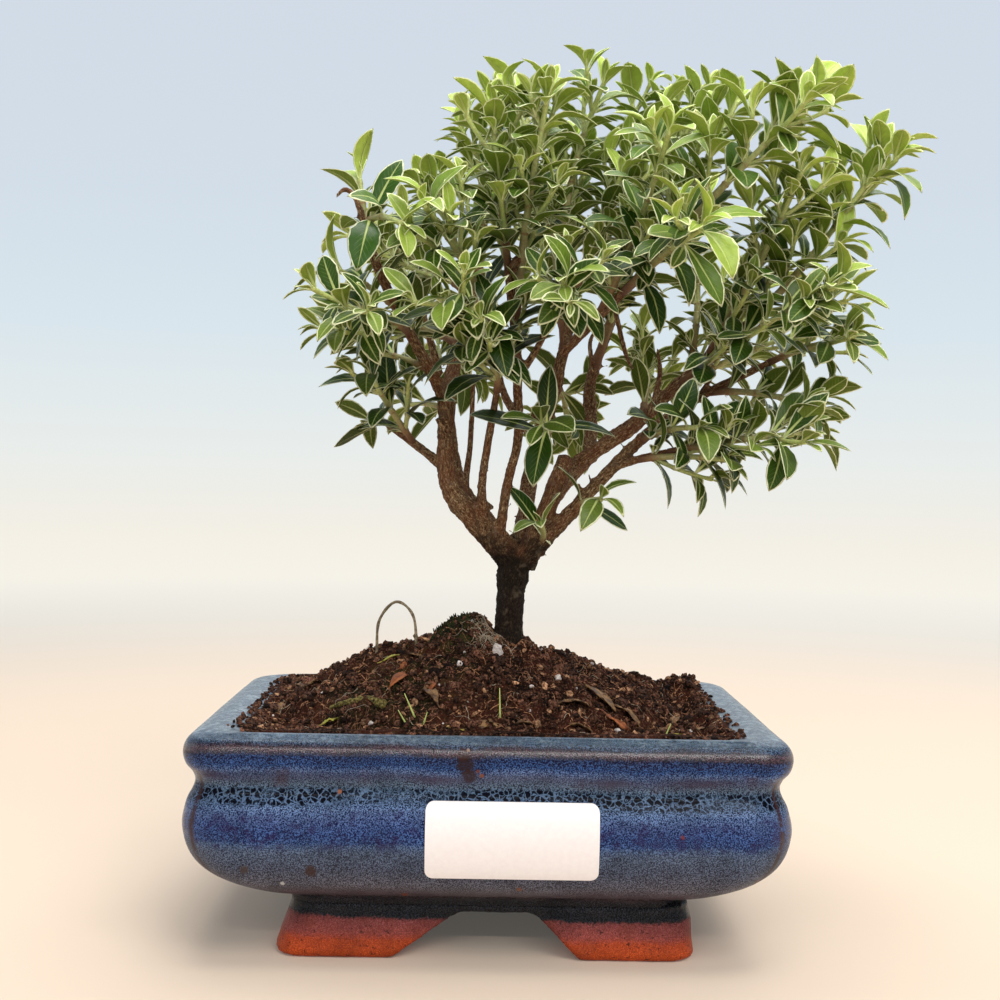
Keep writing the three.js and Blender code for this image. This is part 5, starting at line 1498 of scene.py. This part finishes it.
def build_fallen_leaves():
    for i, (x, y, heading, length, curl, look) in enumerate(FALLEN_LEAVES):
        leaf = lying_leaf(x, y, heading, length)
        shape = Shape()
        add_blades(shape, [leaf], np.random.default_rng(70 + i), kinds=(0, 0), curl=0.05 + 0.16 * curl,
                   crumple=0.8 * curl)
        side = np.cross(leaf["heading"], leaf["face"])
        stalk = leaf["base"] - leaf["heading"] * np.linspace(0, 0.25 * length, 6)[:, None] + side * 0.1
        shape.tube(stalk, np.linspace(0.22, 0.14, 6), 6)
        shape.make(f"dead_leaf_{i + 1}", [look], slot="dead_leaf", replaces=[f"fallen_leaf_{i + 1}"])


def build_litter():
    """More dry scraps of leaf, a mossy stick and a few seedlings."""
    rng = np.random.default_rng(12)
    shape = Shape()
    looks = ["yellow", "orange", "brown", "mossy_stick", "stem"]
    for x, y, heading, length, look in SCRAPS:
        add_blades(shape, [lying_leaf(x, y, heading, length)], rng, kinds=(looks.index(look),) * 2,
                   curl=rng.uniform(0.02, 0.18), crumple=0.7)
    line = CatmullRom(STICK).point(np.linspace(0, 1, 24))
    bed = ground(line[:, 0], line[:, 1])
    line[:, 2] += lerp(np.linspace(bed[0], bed[-1], 24), bed, 0.35) + 0.5
    knobs = line[:, 3] * (1 + 0.16 * np.sin(1.7 * np.arange(24)) + rng.uniform(-0.08, 0.08, 24))
    shape.tube(line[:, :3], knobs, 12, looks.index("mossy_stick"), tint=0.6)
    for x, y, height, lean in SEEDLINGS:
        steps = np.linspace(-0.5, height, 8)
        line = np.column_stack([x + lean * 0.6 * steps, np.full(8, y), ground(x, y) + steps])
        shape.tube(line, np.linspace(0.3, 0.12, 8), 6, looks.index("stem"), age=0.1)
    shape.make("litter", looks, slot="dead_leaf")


# ---- Build --------------------------------------------------------------------------------------
build_pot()
build_feet()
build_label()
build_drain_mesh("drain_mesh_left", -DRAIN_X)
build_drain_mesh("drain_mesh_right", DRAIN_X)
build_soil()
build_crumbs()
build_fibres()
build_moss()
build_wood()
build_root_loop()
build_fallen_leaves()
build_litter()
for number, row in enumerate(SHOOTS, 1):
    build_shoot(number, *row)


# ---- Stage --------------------------------------------------------------------------------------
# The camera: focal length in pixels of a 1000-pixel frame, distance and place in millimetres, and its
# turn about the upright, downward pitch and roll in degrees.
CAMERA = {"focal": 1358, "distance": 380, "x": 2.1, "z": 120.1, "pitch": 0.89, "roll": 1.06, "yaw": 0.59}
# Lights: place and size in metres, watts and tint. All look at a point on the trunk.
LIGHTS = {
    "key": ((0.6, -1.0, 1.35), (0.8, 0.8), 14.6, (1.0, 0.98, 0.95)),
    "fill": ((-1.2, -0.9, 0.8), (0.8, 0.8), 0.8, (0.97, 0.98, 1.0)),
    "strip": ((0.0, -1.05, 0.74), (1.1, 0.05), 3.6, (1.0, 0.99, 0.97)),
    "top": ((0.15, 0.05, 1.6), (1.1, 1.1), 23, (1.0, 1.0, 0.98)),
    "back": ((0.3, 1.4, 1.1), (1.4, 0.9), 4, (0.98, 0.99, 1.0)),
}
LIT_POINT = (0, 0, 0.12)
# The floor and backdrop in metres: a disc, the radius of the sweep round it and the top of the wall.
FLOOR_RADIUS, SWEEP, WALL_TOP = 2.2, 1.4, 4.5
SKY = [(0.0, (238, 233, 222)), (160.0, (230, 233, 230)), (500.0, (214, 226, 233)), (900.0, (207, 218, 229)),
       (1600.0, (206, 215, 227))]


def build_camera():
    pitch, roll, yaw = (math.radians(CAMERA[key]) for key in ("pitch", "roll", "yaw"))
    right, up = np.array([1.0, 0, 0]), np.array([0, math.sin(pitch), math.cos(pitch)])
    ahead = np.array([0, math.cos(pitch), -math.sin(pitch)])
    right, up = math.cos(roll) * right + math.sin(roll) * up, -math.sin(roll) * right + math.cos(roll) * up
    turn = np.array(Matrix.Rotation(-yaw, 3, "Z"))
    place = turn @ np.array([CAMERA["x"], -CAMERA["distance"], CAMERA["z"]])
    data = bpy.data.cameras.new("camera")
    data.sensor_width = 36.0
    data.lens = data.sensor_width * CAMERA["focal"] / 1000
    data.clip_start, data.clip_end = 0.01, 20.0
    camera = link("camera", data)
    matrix = Matrix(np.column_stack([turn @ right, turn @ up, -(turn @ ahead)]).tolist()).to_4x4()
    matrix.translation = Vector((place + MIDDLE) * MM)
    camera.matrix_world = matrix
    bpy.context.scene.camera = camera


def backdrop_material():
    """Pale matt floor that turns, as it runs back and rises, to a softly glowing blue-grey wall; near the pot the
    floor glows faintly too, painted light that lifts its shadows.
    """
    g = Graph("backdrop", Roughness=0.8, Specular_IOR_Level=0.1)
    x, y, z = g.separate(g.place)
    far = g.step(g.length(x, y), 300.0, 1300.0)
    floor = g.mix(far, colour(211, 191, 171), colour(184, 192, 194))
    behind = g.step(y, -400.0, 900.0, 0.5, 1.0)
    # Near the pot the floor glows faintly: painted light that lifts the shadows there.
    strength = g.add(g.mul(far, behind), g.slope(far, 0.0, 1.0, 0.08, 0.0))
    return g.finish(g.scale(floor, g.slope(far, 0.0, 1.0, 1.0, 0.08)), Emission_Strength=strength,
                    Emission_Color=g.shade(z, 0.0, 2000.0, SKY))


def build_floor():
    """A pale floor that sweeps up into a backdrop far behind."""
    sweep = np.linspace(0.15, math.pi / 2, 10)
    profile = [(0.0, 0.0), (0.6, 0.0), (FLOOR_RADIUS, 0.0), (FLOOR_RADIUS + SWEEP, WALL_TOP)]
    profile[3:3] = zip(FLOOR_RADIUS + SWEEP * np.sin(sweep), SWEEP * (1 - np.cos(sweep)))
    mesh = bpy.data.meshes.new("floor")
    rings = np.vstack([circle(radius, 64, z=z) for radius, z in profile])
    mesh.from_pydata(rings.tolist(), [], ring_faces(len(profile), 64).tolist())
    mesh.polygons.foreach_set("use_smooth", [True] * len(mesh.polygons))
    mesh.materials.append(backdrop_material())
    floor = link("floor", mesh)


def build_light():
    for name, (place, size, power, tint) in LIGHTS.items():
        data = bpy.data.lights.new(name, "AREA")
        data.shape = "RECTANGLE"
        data.size, data.size_y = size
        data.energy, data.color = power, tint
        light = link(name, data)
        light.location = place
        light.rotation_mode = "QUATERNION"
        light.rotation_quaternion = (Vector(LIT_POINT) - Vector(place)).to_track_quat("-Z", "Y")
    world = bpy.data.worlds.new("studio")
    world.use_nodes = True
    background = world.node_tree.nodes["Background"]
    background.inputs[0].default_value = (0.86, 0.91, 1.0, 1.0)
    background.inputs[1].default_value = 0.15
    bpy.context.scene.world = world
    bpy.context.scene.view_settings.view_transform = "Standard"


build_camera()
build_floor()
build_light()
